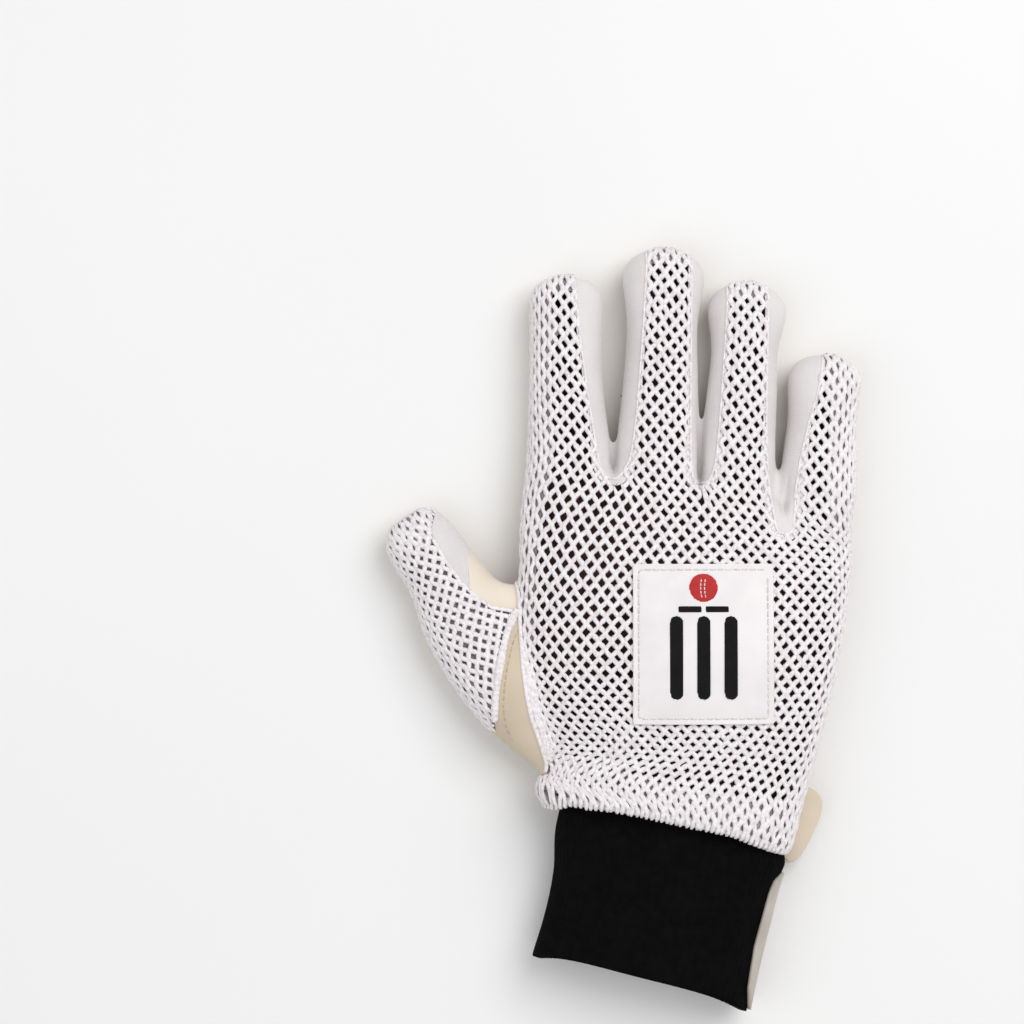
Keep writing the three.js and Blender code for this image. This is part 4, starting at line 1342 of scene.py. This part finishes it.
# Thumb: leather front and web, a cloth strip beside the net, and the knitted back
CLOTH_STRIP_OUTLINE = [
    (-90.0, 52.0),
    (-80.0, 30.0),
    (-73.0, 19.0),
    (-70.0, 16.0),
    (-68.0, 16.5),
    (-68.2, 22.5),
    (-68.8, 28.0),
    (-67.5, 34.0),
    (-64.0, 52.0),
]
strip_outline = rounded(CLOTH_STRIP_OUTLINE, 2)


def thumb_net_field(points):
    """Above zero in the thumb's knitted back."""
    return np.minimum(outline_distance(thumb_net_outline, points[:, :2]), points[:, 2] - FINGER_SEAM)


def thumb_strip_field(points):
    """Above zero in the plain cloth beside the thumb's knitted back."""
    return np.minimum(outline_distance(strip_outline, points[:, :2]), points[:, 2] - FINGER_SEAM)


thumb_front = kept(thumb_skin, lambda p: -thumb_net_field(p))
thumb_cloth = kept(thumb_front, thumb_strip_field)
thumb_front = kept(thumb_front, lambda p: -thumb_strip_field(p))
# The thumb's leather carries painted shade and painted light; its inner faces carry the painted shade of
# the glove's inside
add("thumb_leather_skin", thumb_front, thumb_cream_shade_and_light, "thumb_leather", WALL, shade_inside)
add("thumb_mesh_cloth", thumb_cloth, jersey, "thumb_mesh", WALL)

THUMB_HALF_ARC = 34
THUMB_PITCH = 2.0
THUMB_PERIOD = 4.4
THUMB_NET_FROM = 18
THUMB_YARN_SHARE = 0.96
THUMB_SHUT_WIDER = 0.16
# The net is shut left of this line, and past this range along the thumb
THUMB_SHUT_AT = [55, 90]
THUMB_SHUT_LEFT = [-10.0, -12.5]
THUMB_END_SHUT = (80, 94)
thumb_knots, thumb_table = thumb_rows()
thumb_along = np.arange(THUMB_NET_FROM, thumb_knots[-1] - 0.4, THUMB_PERIOD / YARN_STEPS)
thumb_columns = np.arange(-THUMB_HALF_ARC, THUMB_HALF_ARC, THUMB_PITCH)
thumb_sections = [arcs(row, FINGER_SEAM) for row in smooth(thumb_knots, thumb_table, thumb_along)]
thumb_odd = (np.arange(len(thumb_columns)) % 2)[:, None]
thumb_grid = (len(thumb_columns), len(thumb_along))
thumb_phase = 2 * math.pi * thumb_along[None] / THUMB_PERIOD
thumb_phase = thumb_phase + SWING_WAVER * wavering(*thumb_grid, SWING_HOLD)
thumb_swing = np.sin(thumb_phase + math.pi * thumb_odd)
thumb_left = np.interp(thumb_along, THUMB_SHUT_AT, THUMB_SHUT_LEFT)[None]
thumb_open = step(-3, 3, thumb_columns[:, None] - thumb_left)
thumb_open = thumb_open * (1 - step(*THUMB_END_SHUT, thumb_along))[None]
thumb_spread = YARN_SWAY * (0.5 + 0.4 * thumb_open)
thumb_wander = YARN_WANDER * wavering(*thumb_grid, WANDER_HOLD)
thumb_placed = thumb_columns[:, None] + thumb_wander + thumb_swing * thumb_spread
thumb_points = laid_columns(thumb_sections, thumb_placed)
flat_points = thumb_points.reshape(-1, 3)
places, normals = on_skin(flat_points)
thumb_valid = (thumb_net_field(places) > -0.1) & (np.linalg.norm(places - flat_points, axis=1) < 4)
thumb_valid = thumb_valid.reshape(thumb_points.shape[:2])
places, normals = places.reshape(thumb_points.shape), normals.reshape(thumb_points.shape)
thumb_over = YARN_OVER * thumb_swing * np.where(thumb_odd == 0, 1, -1)
places = places + normals * (thumb_over + YARN_LIFT)[..., None]
thumb_yarns = []
for j in range(len(thumb_columns)):
    for run in runs_of(thumb_valid[j]):
        wide = THUMB_YARN_SHARE * YARN_HALF_WIDTH + THUMB_SHUT_WIDER * (1 - thumb_open[j, run])
        wide = wide * uneven(len(run))
        thumb_yarns.append(tube(places[j, run], normals[j, run], wide, YARN_HALF_HEIGHT))
add("thumb_mesh_yarn", joined(thumb_yarns), cotton, "thumb_mesh")
thumb_net_skin = kept(thumb_skin, thumb_net_field)
thumb_shaded_ground = ground(thumb_net_skin, places.reshape(-1, 3), thumb_open.ravel())
# The thumb's ground carries the same painted shade
add("thumb_mesh_shaded_ground", thumb_shaded_ground, shaded_ground_cotton, "thumb_mesh", GROUND_THICKNESS)
thumb_side_cloth = beyond(thumb_net_skin, places[thumb_valid])
add("thumb_mesh_side", thumb_side_cloth, jersey, "thumb_mesh", GROUND_THICKNESS)
# A sheet under the thumb's net in the painted shade of the glove's inside, seen through the eyelets
THUMB_SHADE_SHEET_DEPTH = 1.5
thumb_painted_shade = lifted(thumb_net_skin, -THUMB_SHADE_SHEET_DEPTH)
add("thumb_mesh_shade_sheet", thumb_painted_shade, thumb_shade_cloth, "thumb_mesh", GROUND_THICKNESS)

# Rolled seam at the base of the thumb's knitted back, and the thin seam along its inner side
ROLL_PATH = [
    (-51.6, 10.6),
    (-53.4, 7.6),
    (-55.4, 3.0),
    (-57.0, -4.0),
    (-58.1, -11.0),
    (-59.2, -20.0),
    (-59.4, -27.0),
]
ROLL_RADIUS = 1.35
ROLL_PITCH = 0.5
roll = spaced(ROLL_PATH, ROLL_PITCH)
places, normals = from_above(roll)
roll_run = np.arange(len(roll)) * ROLL_PITCH
twist = 0.14 * np.sin(2 * math.pi * roll_run / 1.7) + 0.15 * np.sin(roll_run * 0.4)
swollen = ROLL_RADIUS * (0.75 + 0.25 * np.sin(np.linspace(0.3, math.pi - 0.2, len(roll)))) + twist
roll_tube = tube(places + normals * 0.5, normals, swollen, swollen * 0.9, 10)
add("thumb_mesh_roll", roll_tube, cotton, "thumb_mesh")
THUMB_SEAM_PATH = [
    (-52.4, 9.8),
    (-60.5, 11.2),
    (-65.5, 14.6),
    (-70.6, 19.4),
    (-74.0, 23.8),
    (-78.0, 30.0),
    (-80.8, 35.0),
]
THUMB_SEAM_SIZE = (0.7, 0.55)
places, normals = from_above(spaced(THUMB_SEAM_PATH, 1.0))
add("thumb_mesh_seam", tube(places, normals, *THUMB_SEAM_SIZE), cotton, "thumb_mesh")

# Edge of the hand's net where it meets the thumb
EDGE_FROM_Y, EDGE_TO_Y = -44.5, 22.0
EDGE_SIZE = (0.75, 0.65)
for path in border_paths(thumb_skin):
    inner = (path[:, 2] > HAND_SEAM) & (path[:, 1] > EDGE_FROM_Y) & (path[:, 1] < EDGE_TO_Y)
    for run in runs_of(inner):
        if len(run) > 20:
            edge = spaced(relaxed_path(path[run], 12), 0.8)
            places, normals = on_skin(edge)
            edge_tube = tube(places + normals * YARN_LIFT, normals, *EDGE_SIZE, 8)
            add("mesh_back_edge", edge_tube, cotton, "mesh_back")

# Stitched seam in the leather beside the rolled seam
BASE_SEAM_PATH = [
    (-50.6, 5.5),
    (-53.2, 0.0),
    (-55.0, -7.0),
    (-56.2, -15.0),
    (-56.6, -22.0),
    (-55.6, -29.0),
    (-53.0, -35.0),
]
places, normals = from_above(spaced(BASE_SEAM_PATH, 1.0))
base_stitches = stitches(places, normals, *BASE_STITCH)
add("thumb_base_stitches", base_stitches, cream_thread, "thumb_leather")

# Badge panel, sewn on the back
BADGE_THICKNESS = 1.3
BADGE_CORNER = 1.6
BADGE_LIFT = 0.4
DRAPE_ROUNDS = 6


def rounded_box(points, centre, size, corner):
    """Distance inside a rectangle with round corners: above zero inside."""
    over = np.abs(points[:, :2] - centre) - np.asarray(size) / 2 + corner
    outside = np.linalg.norm(np.maximum(over, 0), axis=1)
    return corner - outside - np.minimum(np.max(over, axis=1), 0)


def draped(mesh, lift):
    """A flat sheet laid over the back of the hand, lifted off it."""
    places, normals = from_above(mesh[0][:, :2])
    places = relaxed(places, mesh[1], np.full(len(places), 0.5), DRAPE_ROUNDS)
    return places + normals * lift, mesh[1]


sheet = flat_sheet(BADGE_CENTRE - BADGE_SIZE / 2 - 1, BADGE_CENTRE + BADGE_SIZE / 2 + 1, 0.8)
badge = kept(sheet, lambda p: rounded_box(p, BADGE_CENTRE, BADGE_SIZE, BADGE_CORNER))
room = rounded_box(badge[0], BADGE_CENTRE, BADGE_SIZE, BADGE_CORNER)
badge_x, badge_y = (badge[0][:, :2] - BADGE_CENTRE).T
puff = 0.35 * step(3, 9, room) - 0.3 * np.exp(-(((room - 2.4) / 0.7) ** 2))
puff += 0.15 * np.sin(badge_x * 0.14 + 0.6) * np.sin(badge_y * 0.11)
badge = draped(badge, (BADGE_THICKNESS + BADGE_LIFT + puff)[:, None])
add("badge_panel_sheet", badge, panel_white, "badge_panel", BADGE_THICKNESS)

BORDER_INSET = 2.4
THREAD_LIFT = 0.3
line = kept(sheet, lambda p: rounded_box(p, BADGE_CENTRE, BADGE_SIZE - 2 * BORDER_INSET, 1.0))
border = border_paths(line)[0][:, :2]
border = spaced(np.vstack([border, border[:1]]), 0.8)
places, normals = from_above(border)
badge_threads = stitches(places + normals * (BADGE_THICKNESS + THREAD_LIFT), normals, *BADGE_STITCH)
add("badge_stitches", badge_threads, thread, "badge_panel")

# A plain cricket picture on the badge: three stumps with their bails, and a ball
STUMP = (4.6, 28.0)
STUMP_PITCH = 9.0
STUMPS_CENTRE = (0.0, -4.5)
BAIL = (8.2, 2.4)
BALL_RADIUS = 4.9
BALL_CENTRE = (0.0, 18.6)
PRINT_LIFT = BADGE_THICKNESS + 0.95
PRINT_THICKNESS = 0.5


def stumps_field(points):
    """Above zero in the stumps and bails."""
    bars = []
    for i in (-1, 0, 1):
        centre = BADGE_CENTRE + STUMPS_CENTRE + np.array([i * STUMP_PITCH, 0])
        bars.append(rounded_box(points, centre, STUMP, STUMP[0] / 2 - 0.2))
    top = STUMPS_CENTRE[1] + STUMP[1] / 2 + BAIL[1] * 0.85
    for i in (-0.5, 0.5):
        bars.append(rounded_box(points, BADGE_CENTRE + (i * STUMP_PITCH, top), BAIL, 0.7))
    return np.max(bars, axis=0)


def ball_field(points):
    """Above zero in the ball."""
    return BALL_RADIUS - np.linalg.norm(points[:, :2] - BADGE_CENTRE - BALL_CENTRE, axis=1)


fine = flat_sheet(BADGE_CENTRE - BADGE_SIZE / 2, BADGE_CENTRE + BADGE_SIZE / 2, 0.5)
stumps = draped(kept(fine, stumps_field), PRINT_LIFT)
add("badge_stumps", stumps, ink_black, "badge_panel", PRINT_THICKNESS)
ball = draped(kept(fine, ball_field), PRINT_LIFT)
add("badge_ball", ball, ink_red, "badge_panel", PRINT_THICKNESS)

# The ball's seam: two rows of stitches that curve across it
BALL_SEAM_GAP = 1.3
BALL_SEAM_CURVE = 0.9
across = np.linspace(-0.78, 0.78, 33) * BALL_RADIUS
ball_rows = []
for side in (-0.5, 0.5):
    bent = BALL_SEAM_CURVE * ((across / BALL_RADIUS) ** 2 - 0.4) + side * BALL_SEAM_GAP
    places, normals = from_above(BADGE_CENTRE + BALL_CENTRE + np.column_stack([bent, across]))
    ball_rows.append(stitches(places + normals * (PRINT_LIFT + 0.1), normals, *BALL_STITCH))
add("badge_ball_seam", joined(ball_rows), thread, "badge_panel")

# Cuff: a flat ribbed tube, open at its end
CUFF_RIBS = 76
CUFF_RIB_POINTS = 4
CUFF_RIB_HEIGHT = 0.3
CUFF_END_HOLLOW = 4.8
CUFF_END_REACH = 22
CUFF_SAG = 0.5
CUFF_SAG_ABOVE = 12
cuff_knots, cuff_table = cuff_rows()
cuff_at = np.linspace(cuff_knots[0], cuff_knots[-1], 44)
cuff_angles = np.linspace(0, 2 * math.pi, CUFF_RIBS * CUFF_RIB_POINTS, endpoint=False)
cuff_grid = []
for row, at in zip(smooth(cuff_knots, cuff_table, cuff_at), cuff_at):
    ring = section(row, cuff_angles)
    flat = 1 - np.clip(np.abs((ring[:, 0] - row[0]) / row[2]), 0, 1) ** 4
    near_end = 1 - step(cuff_knots[0], cuff_knots[0] + CUFF_END_REACH, np.array([at]))
    ring[:, 1] += CUFF_END_HOLLOW * near_end * flat
    sag = CUFF_SAG * np.sin(ring[:, 0] * 0.16 + at * 0.1) * np.sin(at * 0.13)
    ring[:, 2] += np.where(ring[:, 2] > CUFF_SAG_ABOVE, sag, 0)
    cuff_grid.append(ring)
cuff_faces = triangles_of(grid_faces(len(cuff_at), len(cuff_angles), True))
ribbing = np.tile(np.cos(cuff_angles * CUFF_RIBS) - 1, len(cuff_at)) * CUFF_RIB_HEIGHT / 2
cuff = lifted((np.concatenate(cuff_grid), cuff_faces), ribbing[:, None])
add("wrist_cuff_knit", cuff, elastic, "wrist_cuff", CUFF_WALL)

# Leather facing along the cuff's side under the little finger
STRIP_FRONT_AT = [0, 0.04, 0.15, 0.45, 0.85, 0.95, 1]
STRIP_FRONT_DEG = [86, 77, 69, 64, 66, 69, 80]
STRIP_BACK_DEG = 124
STRIP_FROM, STRIP_TO = 1.2, -4.5
STRIP_LIFT = 1.3
STRIP_THICKNESS = 1.2
STRIP_ROWS, STRIP_COLUMNS = 72, 26
strip_at = np.linspace(cuff_knots[0] + STRIP_FROM, STRIP_TO, STRIP_ROWS)
strip_front = np.interp(np.linspace(0, 1, STRIP_ROWS), STRIP_FRONT_AT, STRIP_FRONT_DEG)
strip_points = []
for row, front in zip(smooth(cuff_knots, cuff_table, strip_at), strip_front):
    strip_angles = np.radians(np.linspace(front, STRIP_BACK_DEG, STRIP_COLUMNS))
    strip_points.append(section(row, strip_angles))
strip_faces = triangles_of(grid_faces(STRIP_ROWS, STRIP_COLUMNS, False))
strip = lifted((np.concatenate(strip_points), strip_faces), STRIP_LIFT)
add("cuff_strip_leather", strip, facing, "cuff_strip", STRIP_THICKNESS)

# Floor, lights and world
FLOOR_SIZE = 6.0
FLOOR_BELOW = 0.0003
floor_data = bpy.data.meshes.new("floor")
half = FLOOR_SIZE / 2
floor_corners = [(-half, -half, 0), (half, -half, 0), (half, half, 0), (-half, half, 0)]
floor_data.from_pydata(floor_corners, [], [(0, 1, 2, 3)])
floor = bpy.data.objects.new("floor", floor_data)
floor.location.z = -FLOOR_BELOW
bpy.context.scene.collection.objects.link(floor)
floor_data.materials.append(
    material("floor_paper", (246, 246, 246), (243, 243, 243), 0.85, 400, [(1.0, 0.01, ROUND)])
)


def soft_light(name, place, size, power):
    """A square lamp that faces the glove."""
    data = bpy.data.lights.new(name, "AREA")
    data.shape = "SQUARE"
    data.size = size
    data.energy = power
    light = bpy.data.objects.new(name, data)
    light.location = place
    light.rotation_euler = (Vector((0, 0, 0)) - Vector(place)).to_track_quat("-Z", "Y").to_euler()
    bpy.context.scene.collection.objects.link(light)


soft_light("key", (0.6, 0.6, 1.3), 1.1, 13.0)
soft_light("fill", (-0.9, -0.3, 1.2), 1.4, 4.5)
world = bpy.data.worlds.new("studio")
world.use_nodes = True
world.node_tree.nodes["Background"].inputs["Color"].default_value = (1, 1, 1, 1)
world.node_tree.nodes["Background"].inputs["Strength"].default_value = 0.5
bpy.context.scene.world = world
bpy.context.scene.view_settings.view_transform = "Standard"
